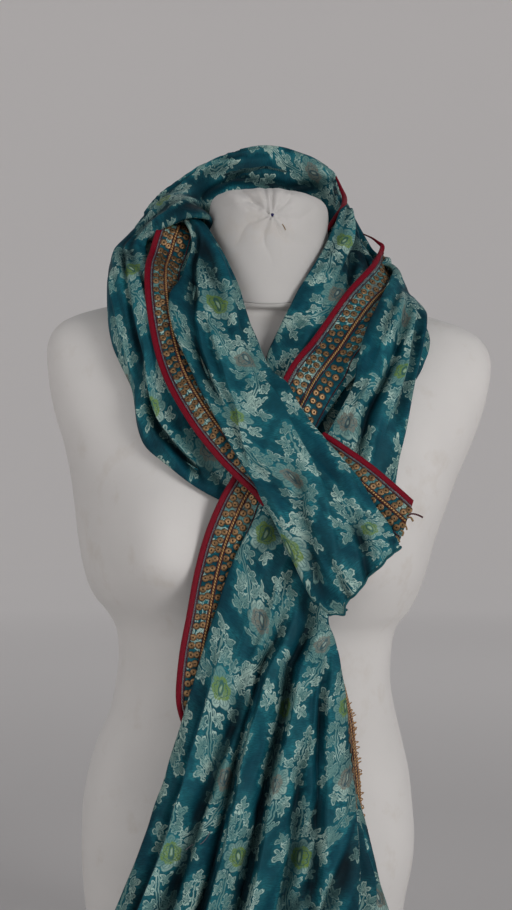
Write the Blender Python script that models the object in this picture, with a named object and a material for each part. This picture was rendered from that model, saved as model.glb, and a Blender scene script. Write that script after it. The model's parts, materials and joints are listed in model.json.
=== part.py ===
"""A dupatta stole wound about the neck of a limbless dress form.

The stole is one long strip. Its middle hangs in a loop on the chest, both ends pass
behind the neck, cross there and come forward over the opposite shoulders: one crosses
the chest and ends in a short hem, the other falls down the front in a long fanned tail.
The chest faces -Y, Z is up, and the origin is the middle of the dress form's flat foot.
Tables are in millimetres, everything else in metres.
"""
import math

import bpy
import numpy as np
from mathutils import Vector
from mathutils.bvhtree import BVHTree

MM = 0.001

# Driving dimensions
CLOTH_WALL = 1.2 * MM
GAP = 0.4 * MM              # clear space between two pieces that meet
REST_GAP = 2.0 * MM         # from a sheet's middle to the sheet that it lies on
FORM_REST_GAP = 3.0 * MM    # the same, to the dress form
BACK_PLANE = 30.0 * MM      # sheets are stacked on each other in front of this plane
RAY = 25.0 * MM             # how far above a sheet's bed another may be that it lies on
STEEP = 0.35                # the least slope that a gap is worked out for
EASE_PASSES = 4             # times that a push is shared with the points about it
REFINE = 4                  # rays from one point of a sheet to the next
FINE = 0.01                 # a small step, for directions
SEAM_GAP = 0.6 * MM         # clear space where one stretch of the strip follows another
PIPING_WIDTH = 5.0 * MM
PIPING_WALL = 1.6 * MM
BRAID_WIDTH = 3.4 * MM
BRAID_WALL = 1.4 * MM
BRAID_PLACE = 15.5 * MM     # from the cut edge to the middle of the braid
BRAID_LIMIT = 0.5           # how far across a narrow ply the braid may lie
ROLL_POINTS = 3             # points round the curl of a folded edge
LAP = 12.0 * MM             # cloth turned under at a folded edge
FOLD_FADE = 0.25            # share of a fold's length over which it rises or dies away

FORM_POINTS = 40            # points round the dress form
FORM_POWER = 2.3            # superellipse exponent of its sections
SHOULDER_ROLL = 0.032       # slope of the shoulders, down towards +X
NECK_CENTRE = (19.5 * MM, -6.0 * MM)

# Dress form, a row for each section: height, middle, half width, front, back, tilt, roll
TORSO_SECTIONS = (
    (0.0, 0.0, 124, -82, 82, 0, 0),
    (4.0, -2.0, 128.5, -85, 85, 0, 0),
    (45, -2.0, 137, -91, 90, 0, 0),
    (90, -2.0, 143, -98, 96, 0, 0),
    (125, 0.0, 148, -104, 100, 0, 0),
    (152, 1.0, 149, -107, 100, 0, 0),
    (180, 0.5, 147.5, -106, 96, 0, 0),
    (209, 1.5, 143.5, -103, 86, 0, 0),
    (236, 2.5, 136.5, -100, 75, 0, 0),
    (262, 5.0, 128, -97, 66, 0, 0),
    (285, 5.5, 123.5, -95, 60, 0, 0),
    (310, 7.0, 122, -95, 60, 0, 0),
    (335, 8.0, 125, -98, 62, 0, 0),
    (351, 10.0, 135, -101, 65, 0, 0),
    (366, 8.0, 145, -104, 68, 0, 0),
    (385, 7.5, 152.5, -108, 73, 0, 0),
    (416, 9.0, 160, -112, 77, 0, 0),
    (450, 13.0, 168, -112, 81, 0, 0),
    (472, 15.5, 173.5, -109, 83, 0, 0),
    (500, 18.5, 182.5, -103, 83, 0, 0.1),
    (527, 19.0, 191.5, -95, 80, 0, 0.3),
    (555, 19.5, 197.5, -84, 76, 0, 0.6),
    (582, 19.8, 199, -69, 66, 0.02, 1),
    (600, 19.5, 190, -57, 54, 0.05, 1),
    (611, 19.5, 171, -49, 46, 0.09, 1),
    (620, 19.5, 148, -45, 41, 0.15, 1),
    (627, 19.5, 112, -45, 38, 0.23, 0.8),
    (634, 19.5, 81, -50, 38, 0.33, 0.4),
    (640, 19.5, 63.5, -56, 42, 0.41, 0.1),
    (645.7, 19.5, 55, -60, 48, 0.45, 0),
)
# Neck, a row for each section above the tilted seam: height, half width, tilt
NECK_SECTIONS = (
    (646.5, 54.5, 0.45),
    (662, 53.5, 0.42),
    (680, 53.2, 0.30),
    (696, 53.4, 0.14),
    (710, 53.5, 0.03),
    (718, 52.0, 0.0),
    (723, 48.5, 0.0),
    (724.7, 43.0, 0.0),
)
# Bust: side, height, reach, half width, half height above, half height below
BUST = (
    (-82, 402, 40, 52, 74, 44),
    (82, 402, 40, 52, 74, 44),
)

# The strip, a row for each section: name, then the neck-side edge, the crown and the
# far edge as x, y, z. It starts at the short end and finishes at the tail's hem.
STRIP = (
    ("cross end", (126, -180, 419), (97, -190, 390), (67, -176, 361)),
    ("cross foot", (122, -180, 427), (88, -192, 405), (52, -178, 375)),
    ("cross turn", (117, -178, 435), (77, -190, 420), (34, -174, 409)),
    ("cross low", (107, -174, 448), (61, -184, 445), (15, -168, 449)),
    ("cross belly", (85, -164, 478), (44, -174, 472), (3, -160, 472)),
    ("cross middle", (65, -152, 505), (28, -162, 498), (-9, -150, 496)),
    ("cross chest", (46, -136, 530), (11, -146, 525), (-24, -133, 524)),
    ("cross upper", (26, -112, 558), (-8, -126, 556), (-43, -112, 562)),
    ("cross high", (7, -84, 598), (-24, -99, 598), (-58, -83, 606)),
    ("cross neck", (-10, -60, 650), (-32, -68, 651), (-55, -58, 651)),
    ("cross top", (-32, -34, 689), (-39, -38, 687), (-46, -36, 684)),
    ("under hood", (-46, -6, 684), (-56, 0, 674), (-66, 6, 662)),
    ("neck left", (-58, 30, 694), (-64, 32, 678), (-72, 34, 660)),
    ("neck back left", (-34, 66, 708), (-36, 67, 688), (-40, 68, 658)),
    ("neck back", (19, 77, 712), (19, 78, 688), (19, 79, 658)),
    ("neck back right", (74, 55, 703), (78, 58, 686), (82, 60, 660)),
    ("collar back", (92, 24, 702), (100, 29, 688), (110, 32, 660)),
    ("collar top", (88, -10, 715), (98, 0, 700), (107, 10, 652)),
    ("collar high", (78, -26, 694), (104, -10, 668), (126, -14, 638)),
    ("collar", (62, -44, 663), (105, -39, 641), (159, -50, 601)),
    ("collar low", (46, -58, 634), (97, -65, 610), (155, -76, 571)),
    ("loop right high", (29, -76, 603), (82, -88, 570), (136, -92, 538)),
    ("loop right", (16, -92, 570), (69, -106, 520), (120, -110, 490)),
    ("loop right low", (24, -112, 520), (64, -132, 469), (92, -145, 437)),
    ("loop foot", (38, -122, 480), (40, -133, 444), (43, -135, 412)),
    ("loop left low", (-5, -116, 501), (-15, -129, 475), (-25, -124, 457)),
    ("loop left", (-33, -110, 537), (-51, -122, 506), (-65, -118, 481)),
    ("loop left mid", (-54, -97, 580), (-75, -110, 541), (-91, -102, 505)),
    ("loop left high", (-68, -80, 622), (-85, -95, 586), (-100, -88, 548)),
    ("shoulder front", (-78, -60, 650), (-101, -74, 626), (-118, -66, 586)),
    ("shoulder", (-86, -44, 664), (-113, -54, 653), (-123, -38, 622)),
    ("shoulder top", (-89, -34, 675), (-119, -26, 670), (-121, 4, 641)),
    ("hood", (-86, -32, 685), (-112, 3, 681), (-110, 40, 634)),
    ("hood rise", (-64, -32, 697), (-87, 27, 715), (-86, 62, 628)),
    ("arch left", (-52, 4, 696), (-61, 51, 742), (-57, 78, 622)),
    ("arch back left", (-30, 52, 694), (-26, 66, 763), (-22, 86, 619)),
    ("arch", (16, 64, 694), (14, 77, 776), (20, 88, 618)),
    ("arch back right", (54, 56, 694), (50, 68, 768), (60, 86, 621)),
    ("arch right", (80, 18, 690), (74, 60, 754), (92, 80, 626)),
    ("arch edge", (84, 22, 715), (86, 58, 731), (108, 74, 632)),
    ("arch over", (92, 30, 722), (97, 62, 700), (120, 66, 640)),
    ("right shoulder", (103, 32, 698), (115, 40, 676), (129, 46, 644)),
    ("pinch", (125, 6, 655), (133, 5, 651), (141, 8, 640)),
    ("fall top", (124, -24, 640), (133, -30, 634), (147, -35, 621)),
    ("fall shoulder", (108, -64, 611), (131, -74, 604), (148, -76, 588)),
    ("fall high", (90, -102, 571), (118, -116, 561), (144, -102, 551)),
    ("fall", (72, -128, 537), (105, -138, 526), (137, -124, 514)),
    ("fall low", (55, -140, 507), (95, -148, 493), (127, -135, 480)),
    ("fall waist", (35, -146, 476), (77, -156, 458), (118, -148, 440)),
    ("fall foot", (15, -146, 447), (54, -157, 421), (95, -148, 402)),
    ("tail gather", (-3, -146, 416), (34, -157, 388), (71, -142, 360)),
    ("tail top", (-18, -149, 379), (29, -162, 351), (76, -143, 336)),
    ("tail high", (-30, -151, 341), (25, -165, 313), (83, -143, 304)),
    ("tail upper", (-46, -151, 289), (20, -167, 266), (87, -141, 267)),
    ("tail middle", (-69, -149, 226), (9, -168, 217), (87, -139, 217)),
    ("tail lower", (-89, -148, 168), (-2, -167, 164), (87, -137, 162)),
    ("tail low", (-109, -146, 114), (-12, -166, 115), (85, -135, 110)),
    ("tail foot", (-122, -145, 74), (-18, -165, 76), (85, -133, 72)),
    ("tail end", (-133, -144, 36), (-22, -164, 42), (86, -132, 36)),
)
# Stretches: name, first row, last row, near roll, far roll, points on the face across,
# points along
STRETCHES = (
    ("loop_right", "collar back", "loop foot", 2.5, 3.0, 6, 15),
    ("loop_left", "loop foot", "shoulder top", 3.0, 3.5, 7, 15),
    ("back_wrap_inner", "cross top", "collar back", 0.0, 0.0, 3, 12),
    ("back_wrap_outer", "shoulder top", "right shoulder", 3.0, 3.0, 9, 19),
    ("fall_panel", "right shoulder", "fall foot", 3.0, 3.0, 7, 15),
    ("tail_panel", "fall foot", "tail end", 3.0, 3.5, 17, 13),
    ("cross_panel", "cross end", "cross top", 3.0, 3.5, 8, 17),
)
# Folds of the strip: first row, last row, place across there and here (0 neck side,
# 1 far side), half width, height (a trough is negative)
FOLDS = (
    ("cross high", "cross belly", 0.32, 0.90, 7, -5.0),
    ("cross top", "cross upper", 0.66, 0.74, 7, -4.0),
    ("cross neck", "cross turn", 0.12, 0.42, 12, 4.0),
    ("loop left low", "loop left mid", 0.62, 0.50, 9, -7.0),
    ("loop left", "shoulder", 0.30, 0.55, 12, 5.0),
    ("collar back", "loop right high", 0.26, 0.42, 10, -5.0),
    ("hood", "arch right", 0.40, 0.42, 8, -5.0),
    ("hood", "arch edge", 0.62, 0.70, 12, -7.0),
    ("shoulder top", "arch right", 0.84, 0.84, 12, 6.0),
    ("pinch", "fall low", 0.34, 0.30, 7, -5.0),
    ("pinch", "fall", 0.68, 0.62, 7, -5.0),
    ("fall top", "fall waist", 0.50, 0.52, 9, 4.0),
    ("fall foot", "tail end", 0.68, 0.43, 9, 14.0),
    ("tail gather", "tail end", 0.56, 0.37, 9, -9.0),
    ("fall foot", "tail end", 0.82, 0.52, 13, -11.0),
    ("tail gather", "tail end", 0.30, 0.22, 13, 6.0),
    ("tail top", "tail end", 0.12, 0.08, 8, -6.0),
    ("tail high", "tail end", 0.86, 0.74, 10, -5.0),
    ("tail top", "tail end", 0.92, 0.86, 12, 5.0),
)

# Single plies that show beside a folded edge, a row for each section: the cut edge that
# carries the border, then the side that is tucked away, as x, y, z
CROSS_HEM = (
    ((-78, -22, 688), (-44, -10, 684)),
    ((-86, -52, 650), (-44, -44, 650)),
    ((-83, -82, 611), (-38, -76, 612)),
    ((-70, -112, 562), (-30, -104, 567)),
    ((-47, -134, 520), (-14, -126, 535)),
    ((-20, -148, 486), (5, -142, 508)),
    ((5, -156, 462), (26, -152, 483)),
    ((16, -158, 450), (38, -154, 470)),
)
FALL_HEM = (
    ((117, -6, 666), (126, 2, 643)),
    ((109, -28, 650), (122, -20, 631)),
    ((91, -58, 626), (118, -50, 605)),
    ((65, -86, 589), (98, -82, 569)),
    ((45, -108, 566), (81, -106, 544)),
    ((29, -122, 546), (64, -120, 520)),
    ((10, -133, 510), (45, -132, 490)),
)
TAIL_HEM = (
    ((10, -133, 510), (45, -132, 490)),
    ((-8, -138, 474), (28, -138, 460)),
    ((-20, -140, 453), (16, -140, 437)),
    ((-32, -142, 424), (2, -142, 412)),
    ((-41, -144, 391), (-9, -144, 383)),
    ((-47, -146, 358), (-17, -146, 350)),
    ((-53, -147, 325), (-26, -147, 318)),
    ((-56, -145, 288), (-36, -145, 285)),
    ((-50, -139, 264), (-34, -139, 261)),
)
END_PLY = (
    ((136, -168, 451), (124, -170, 417)),
    ((122, -164, 464), (108, -168, 432)),
    ((102, -158, 481), (85, -162, 452)),
    ((81, -152, 496), (64, -154, 470)),
    ((63, -146, 508), (44, -146, 490)),
)
TAIL_BACK_PLY = (
    ((80, -132, 298), (82, -102, 296)),
    ((83, -133, 272), (88, -103, 270)),
    ((86, -133, 242), (92, -103, 240)),
    ((90, -131, 205), (96, -102, 203)),
    ((93, -128, 170), (99, -101, 168)),
    ((98, -125, 110), (103, -99, 108)),
    ((102, -124, 38), (107, -99, 38)),
)
# Plies: name, rows, points along, side of the cut edge (0 first column, 1 second)
PLIES = (
    ("fall_hem", FALL_HEM, 15, 0),
    ("tail_hem", TAIL_HEM, 15, 0),
    ("tail_back_ply", TAIL_BACK_PLY, 9, 1),
    ("cross_hem", CROSS_HEM, 17, 0),
    ("cross_end_ply", END_PLY, 9, 0),
)
PLY_POINTS_ACROSS = 5
PLY_CROWN = 2.0 * MM        # a ply's middle stands this much out of flat
LAYERS = (
    "loop_right", "loop_left", "back_wrap_inner", "tail_back_ply", "fall_hem",
    "tail_hem", "fall_panel", "tail_panel", "cross_hem", "cross_end_ply",
    "cross_panel", "back_wrap_outer",
)
TRIM_LABELS = {"fall_hem": "fall", "tail_hem": "tail", "tail_back_ply": "back",
               "cross_hem": "cross", "cross_end_ply": "end"}

# Colours: red, green, blue, roughness
TEAL = (0.010, 0.100, 0.135, 0.62)
CRIMSON = (0.210, 0.006, 0.022, 0.60)
GOLD = (0.450, 0.270, 0.110, 0.45)
WHITE = (0.620, 0.610, 0.600, 0.75)


def clear_scene():
    for thing in list(bpy.data.objects):
        bpy.data.objects.remove(thing, do_unlink=True)


def material(name, look):
    made = bpy.data.materials.new(name)
    made.use_nodes = True
    shader = made.node_tree.nodes["Principled BSDF"]
    shader.inputs["Base Color"].default_value = (*look[:3], 1.0)
    shader.inputs["Roughness"].default_value = look[3]
    shader.inputs["Metallic"].default_value = 0.0
    return made


def add_object(name, points, faces, look):
    mesh = bpy.data.meshes.new(name)
    mesh.from_pydata([tuple(p) for p in points], [], faces)
    mesh.validate()
    for polygon in mesh.polygons:
        polygon.use_smooth = True
    mesh.materials.append(look)
    made = bpy.data.objects.new(name, mesh)
    bpy.context.collection.objects.link(made)
    return made


# Dress form

def form_ring(height, middle, half_width, front, back, tilt, roll):
    """One closed section: a superellipse, flatter in front or behind as its depths say."""
    ring = []
    for step in range(FORM_POINTS):
        turn = 2 * math.pi * step / FORM_POINTS
        cosine, sine = math.cos(turn), math.sin(turn)
        x = math.copysign(abs(cosine) ** (2 / FORM_POWER), cosine) * half_width
        depth = back if sine > 0 else -front
        y = math.copysign(abs(sine) ** (2 / FORM_POWER), sine) * depth
        z = height + tilt * (y - NECK_CENTRE[1] / MM) - roll * SHOULDER_ROLL * x
        ring.append([middle + x, y, z])
    return ring


def add_bust(point):
    """Swells the front of the chest round each bust point, steeper below than above."""
    x, y, z = point
    if y > 0:
        return point
    for side, height, reach, wide, above, below in BUST:
        tall = above if z > height else below
        near = ((x - NECK_CENTRE[0] / MM * 0.6 - side) / wide) ** 2 + ((z - height) / tall) ** 2
        y -= reach * math.exp(-near) * min(1.0, -point[1] / 60)
    return [x, y, z]


def ring_solid(rings):
    """Closes a stack of rings, lowest first, into a solid with flat ends."""
    count = len(rings[0])
    points = [point for ring in rings for point in ring]
    faces = []
    for level in range(len(rings) - 1):
        for step in range(count):
            a, b = level * count + step, level * count + (step + 1) % count
            faces.append((a, b, b + count, a + count))
    faces.append(tuple(reversed(range(count))))
    last = (len(rings) - 1) * count
    faces.append(tuple(range(last, last + count)))
    return np.array(points) * MM, faces


def form_torso():
    rings = []
    for row in TORSO_SECTIONS:
        rings.append([add_bust(point) for point in form_ring(*row)])
    return ring_solid(rings)


def form_neck():
    rings = []
    for height, radius, tilt in NECK_SECTIONS:
        ring = []
        for step in range(FORM_POINTS):
            turn = 2 * math.pi * step / FORM_POINTS
            x, y = radius * math.cos(turn), radius * math.sin(turn)
            ring.append([NECK_CENTRE[0] / MM + x, NECK_CENTRE[1] / MM + y, height + tilt * y])
        rings.append(ring)
    return ring_solid(rings)


# Sheets

def through(rows, places):
    """Catmull-Rom curve through the rows, at places counted in rows."""
    rows = np.asarray(rows, float)
    places = np.clip(np.asarray(places, float), 0, len(rows) - 1)
    low = np.minimum(places.astype(int), len(rows) - 2)
    part = (places - low)[:, None, None]
    before, after = np.maximum(low - 1, 0), np.minimum(low + 2, len(rows) - 1)
    a, b, c, d = rows[before], rows[low], rows[low + 1], rows[after]
    return 0.5 * (2 * b + (c - a) * part + (2 * a - 5 * b + 4 * c - d) * part ** 2
                  + (3 * b - a - 3 * c + d) * part ** 3)


def on_section(sections, across):
    """Points on each section's curve, which passes its edge, crown and far edge."""
    s = across[..., None]
    near, crown, far = (sections[:, None, k] for k in range(3))
    return near * (1 - s) * (1 - 2 * s) + crown * 4 * s * (1 - s) + far * s * (2 * s - 1)


def strip_surface(places, across):
    """Points of the strip's smooth face, and the directions that face away from the form."""
    rows = [row[1:] for row in STRIP]
    sections = through(rows, places) * MM
    ahead = on_section(through(rows, places + FINE) * MM, across)
    behind = on_section(through(rows, places - FINE) * MM, across)
    sideways = on_section(sections, across + FINE) - on_section(sections, across - FINE)
    up = np.cross(ahead - behind, sideways)
    return on_section(sections, across), up / np.linalg.norm(up, axis=2, keepdims=True)


def smooth_fall(distance):
    """1 at the middle of a fold, 0 past its edges."""
    inside = np.clip(1 - np.abs(distance), 0, 1)
    return inside * inside * (3 - 2 * inside)


def curl(roll, lap):
    """The curled edge of a sheet, from the cloth turned under, round to its face."""
    turns = [math.pi * step / ROLL_POINTS for step in range(ROLL_POINTS + 1)]
    across = [lap] + [roll * (1 - math.sin(turn)) for turn in turns]
    height = [0.0] + [roll * (1 - math.cos(turn)) for turn in turns]
    return across, height


def profile(width, near_roll, far_roll, count):
    """The section of a sheet whose edges may curl under: across it, and off its bed."""
    lap = min(LAP, 0.3 * width)
    across, height = curl(near_roll, lap) if near_roll else ([0.0], [2 * near_roll])
    far_across, far_height = curl(far_roll, lap) if far_roll else ([0.0], [2 * far_roll])
    first, last = across[-1], width - far_across[-1]
    low, high = height[-1], far_height[-1]
    for step in range(1, count + 1):
        part = step / (count + 1)
        across.append(first + (last - first) * part)
        height.append(low + (high - low) * part)
    across += [width - place for place in reversed(far_across)]
    height += list(reversed(far_height))
    return np.array(across), np.array(height)


def normals_of(grid):
    """Unit normals of a grid of points, away from the dress form."""
    along = np.gradient(grid, axis=0)
    across = np.gradient(grid, axis=1)
    normal = np.cross(along, across)
    return normal / np.maximum(np.linalg.norm(normal, axis=2, keepdims=True), 1e-9)


def wall(grid, thickness):
    """A closed wall with the grid as its middle surface."""
    rows, columns = grid.shape[:2]
    shift = normals_of(grid) * thickness / 2
    points = np.concatenate([(grid + shift).reshape(-1, 3), (grid - shift).reshape(-1, 3)])
    under = rows * columns
    faces = []
    for i in range(rows - 1):
        for j in range(columns - 1):
            a, b = i * columns + j, i * columns + j + 1
            faces.append((a, a + columns, b + columns, b))
            faces.append((under + a, under + b, under + b + columns, under + a + columns))
    rim = list(range(columns))
    rim += [i * columns + columns - 1 for i in range(1, rows)]
    rim += [(rows - 1) * columns + j for j in range(columns - 2, -1, -1)]
    rim += [i * columns for i in range(rows - 2, 0, -1)]
    for a, b in zip(rim, rim[1:] + rim[:1]):
        faces.append((a, b, under + b, under + a))
    return points, faces


def finer(grid):
    """The grid with more points between each two, along and across."""
    for axis in (0, 1):
        count = (grid.shape[axis] - 1) * REFINE + 1
        place = np.arange(count) / REFINE
        low = np.minimum(place.astype(int), grid.shape[axis] - 2)
        part = (place - low).reshape([-1 if k == axis else 1 for k in range(grid.ndim)])
        grid = np.take(grid, low, axis) * (1 - part) + np.take(grid, low + 1, axis) * part
    return grid


def largest_near(push):
    """Each point's largest push on the way to its neighbours, from a finer grid."""
    reach = REFINE - 1
    wide = np.pad(push, reach, mode="edge")
    rows, columns = push.shape
    steps = range(2 * reach + 1)
    shifts = [wide[i:i + rows, j:j + columns] for i in steps for j in steps]
    return np.maximum.reduce(shifts)[::REFINE, ::REFINE]


def eased(push):
    """Shares each push with the points about it, so that a sheet bridges what it is on."""
    for _ in range(EASE_PASSES):
        wide = np.pad(push, 1, mode="edge")
        about = (wide[:-2, 1:-1] + wide[2:, 1:-1] + wide[1:-1, :-2] + wide[1:-1, 2:]) / 4
        push = np.maximum(push, about)
    return push


def raised(bed, up, form_tree, cloth_tree):
    """Moves a sheet's bed out until it is clear of the dress form and the cloth below."""
    fine, fine_up = finer(bed), finer(up)
    push = np.zeros(fine.shape[:2])
    for index in np.ndindex(push.shape):
        point, out = Vector(fine[index]), Vector(fine_up[index]).normalized()
        spot, normal, _, _ = form_tree.find_nearest(point)
        slope = max(STEEP, normal.dot(out))
        push[index] = max(0.0, (FORM_REST_GAP - (point - spot).dot(normal)) / slope)
        if cloth_tree is None or point.y > BACK_PLANE:
            continue
        spot, normal, _, far = cloth_tree.ray_cast(point + out * RAY, -out)
        if spot is not None:
            needed = REST_GAP / max(STEEP, abs(normal.dot(out)))
            push[index] = max(push[index], RAY - far + needed)
    return bed + eased(largest_near(push))[..., None] * up


def row_index(name):
    return [row[0] for row in STRIP].index(name)


def fold_reach(part, opens, closes):
    """How much of a fold there is along it: it fades at each end that is not a hem."""
    rise = np.clip(part / FOLD_FADE, 0, 1) if not opens else (part >= 0) * 1.0
    fall = np.clip((1 - part) / FOLD_FADE, 0, 1) if not closes else (part <= 1) * 1.0
    reach = np.minimum(rise, fall)
    return reach * reach * (3 - 2 * reach)


def fold_heights(places, across):
    """What the folds add to the height of each point of a stretch."""
    total = np.zeros(across.shape)
    widths = strip_widths(places)
    for first, last, there, here, half_width, height in FOLDS:
        a, b = row_index(first), row_index(last)
        part = (places - a) / (b - a)
        middle = there + (here - there) * part
        reach = fold_reach(part, a == 0, b == len(STRIP) - 1)
        share = half_width * MM / widths
        total += height * MM * reach[:, None] * smooth_fall(
            (across - middle[:, None]) / share[:, None])
    return total


def strip_widths(places):
    sections = through([row[1:] for row in STRIP], places) * MM
    halves = np.linalg.norm(np.diff(sections, axis=1), axis=2)
    return halves.sum(axis=1)


def seam_place(place, inward):
    """A place a little way in from a stretch's end, so that the next one is clear of it."""
    ends = through([row[1:] for row in STRIP], np.array([place, place + inward * FINE])) * MM
    step = np.linalg.norm(ends[1] - ends[0], axis=1).min() / FINE
    return place + inward * SEAM_GAP / 2 / step


def stretch_grid(first, last, near_roll, far_roll, face_points, count_along, trees):
    """The middle surface of one stretch of the strip, laid on what is below it."""
    start, end = seam_place(row_index(first), 1), seam_place(row_index(last), -1)
    places = np.linspace(start, end, count_along)
    near, far = near_roll * MM, far_roll * MM
    widths = strip_widths(places)
    curls = [profile(width, near, far, face_points) for width in widths]
    across = np.array([row[0] for row in curls]) / widths[:, None]
    height = np.array([row[1] for row in curls])
    face_height = 2 * (near + (far - near) * np.clip(across, 0, 1))
    face, up = strip_surface(places, across)
    bed = raised(face - up * face_height[..., None], up, trees["form"], trees["cloth"])
    folds = fold_heights(places, across)
    if near:
        folds[:, :ROLL_POINTS + 1] = 0
    if far:
        folds[:, -ROLL_POINTS - 1:] = 0
    return bed + up * (height + folds)[..., None]


def ply_grid(rows, count_along, side, trees):
    """The middle surface of a single ply, slightly crowned, laid on what is below it."""
    rows = np.array(rows, float)
    sections = np.stack([rows[:, 0], rows.mean(axis=1), rows[:, 1]], axis=1)
    sections = through(sections, np.linspace(0, len(rows) - 1, count_along)) * MM
    sections[:, 1, 1] -= PLY_CROWN
    widths = np.linalg.norm(sections[:, 2] - sections[:, 0], axis=1)
    margin = (PIPING_WIDTH / 2 + GAP) / widths[:, None]
    across = np.linspace(0, 1, PLY_POINTS_ACROSS)[None, :] * (1 - margin)
    across = across + margin if side == 0 else across
    bed = on_section(sections, across)
    return raised(bed, normals_of(bed), trees["form"], trees["cloth"])


def piping_grid(grid, side):
    """The middle surface of the piping, in line with a ply and just clear of its cut edge."""
    edge, inner = (grid[:, 0], grid[:, 1]) if side == 0 else (grid[:, -1], grid[:, -2])
    outward = edge - inner
    outward /= np.linalg.norm(outward, axis=1, keepdims=True)
    lines = [edge + outward * place for place in (GAP + PIPING_WIDTH, GAP + PIPING_WIDTH / 2, GAP)]
    return np.stack(lines if side == 0 else lines[::-1], axis=1)


def braid_grid(grid, side):
    """The middle surface of the braid, made from the ply's own points and moved out."""
    widths = np.linalg.norm(grid[:, -1] - grid[:, 0], axis=1)
    rows = np.arange(len(grid))
    middle = np.minimum(BRAID_PLACE, BRAID_LIMIT * widths)
    lines = []
    for place in (middle - BRAID_WIDTH / 2, middle, middle + BRAID_WIDTH / 2):
        share = place / widths if side == 0 else 1 - place / widths
        column = share * (grid.shape[1] - 1)
        low = np.minimum(column.astype(int), grid.shape[1] - 2)
        part = (column - low)[:, None]
        lines.append(grid[rows, low] * (1 - part) + grid[rows, low + 1] * part)
    flat = np.stack(lines if side == 0 else lines[::-1], axis=1)
    return flat + normals_of(flat) * ((CLOTH_WALL + BRAID_WALL) / 2 + GAP)


def merge(parts):
    """One tree for ray casts through several closed meshes."""
    points, faces = [], []
    for part_points, part_faces in parts:
        shift = len(points)
        points += [tuple(p) for p in part_points]
        faces += [tuple(i + shift for i in face) for face in part_faces]
    return BVHTree.FromPolygons(points, faces)


def sides_of(solid):
    """A ring solid without its two flat ends."""
    points, faces = solid
    return points, [face for face in faces if len(face) == 4]


def build_cloth(form_tree, looks):
    """Makes every sheet, lowest first, with the trims that follow its cut edge."""
    stretches = {row[0]: row[1:] for row in STRETCHES}
    plies = {row[0]: row[1:] for row in PLIES}
    trees, made = {"form": form_tree, "cloth": None}, []
    for name in LAYERS:
        if name in stretches:
            made.append(wall(stretch_grid(*stretches[name], trees), CLOTH_WALL))
            add_object(name, *made[-1], looks["teal"])
        else:
            rows, count, side = plies[name]
            grid = ply_grid(rows, count, side, trees)
            made.append(wall(grid, CLOTH_WALL))
            add_object(name, *made[-1], looks["teal"])
            made.append(wall(piping_grid(grid, side), PIPING_WALL))
            add_object("piping_" + TRIM_LABELS[name], *made[-1], looks["crimson"])
            made.append(wall(braid_grid(grid, side), BRAID_WALL))
            add_object("braid_" + TRIM_LABELS[name], *made[-1], looks["gold"])
        trees["cloth"] = merge(made)


def main():
    clear_scene()
    looks = {
        "teal": material("teal_brocade", TEAL),
        "crimson": material("crimson_piping", CRIMSON),
        "gold": material("gold_braid", GOLD),
        "white": material("white_cover", WHITE),
    }
    torso, neck = form_torso(), form_neck()
    add_object("form_torso", *torso, looks["white"])
    add_object("form_neck", *neck, looks["white"])
    build_cloth(merge([sides_of(torso), sides_of(neck)]), looks)


main()
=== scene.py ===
"""A dupatta stole of piped and sequinned brocade, wound about a limbless dress form.

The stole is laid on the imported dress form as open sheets: the collar, the loop with its
hood and fall, the tail and the crossing end, then the bordered plies that show beside
them, with their piping, cords, threads and sequins. The chest faces -Y and Z is up.
Tables are in millimetres, everything else is in metres.
"""
import json
import math

import bpy
import numpy as np
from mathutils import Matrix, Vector
from mathutils.bvhtree import BVHTree

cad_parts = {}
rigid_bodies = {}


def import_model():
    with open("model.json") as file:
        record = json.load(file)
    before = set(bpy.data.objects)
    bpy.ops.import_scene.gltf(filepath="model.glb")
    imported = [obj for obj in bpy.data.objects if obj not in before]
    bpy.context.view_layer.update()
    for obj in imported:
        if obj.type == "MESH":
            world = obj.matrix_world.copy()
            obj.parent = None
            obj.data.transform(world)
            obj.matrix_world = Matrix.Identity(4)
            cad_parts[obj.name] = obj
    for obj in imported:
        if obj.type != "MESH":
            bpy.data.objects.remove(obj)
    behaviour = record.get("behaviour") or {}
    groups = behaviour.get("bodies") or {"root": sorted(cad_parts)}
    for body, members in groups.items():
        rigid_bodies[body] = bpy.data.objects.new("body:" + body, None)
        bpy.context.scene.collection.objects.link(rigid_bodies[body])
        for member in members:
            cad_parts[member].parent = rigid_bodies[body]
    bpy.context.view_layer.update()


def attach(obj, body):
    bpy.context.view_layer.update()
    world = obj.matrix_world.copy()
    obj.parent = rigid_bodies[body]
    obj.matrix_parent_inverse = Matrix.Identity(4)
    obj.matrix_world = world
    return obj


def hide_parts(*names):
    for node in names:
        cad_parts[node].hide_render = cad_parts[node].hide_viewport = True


bl_info = {
    "name": "Dupatta stole on a dress form",
    "version": (1, 0, 0),
    "blender": (4, 5, 0),
    "location": "3D View > Sidebar > Stole",
    "description": "Lays a bordered brocade stole on a limbless dress form",
    "category": "Add Mesh",
}

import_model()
BODY = "root"
MM = 0.001
SEQUIN_SIDES = 10
# One sequin from its hole to its rim: share of its radius, height in millimetres
SEQUIN_LEVELS = ((0.05, 0.30), (0.22, 0.34), (0.34, 0.55), (0.52, 0.42), (0.90, 0.55),
                 (1.0, 0.10))

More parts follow.
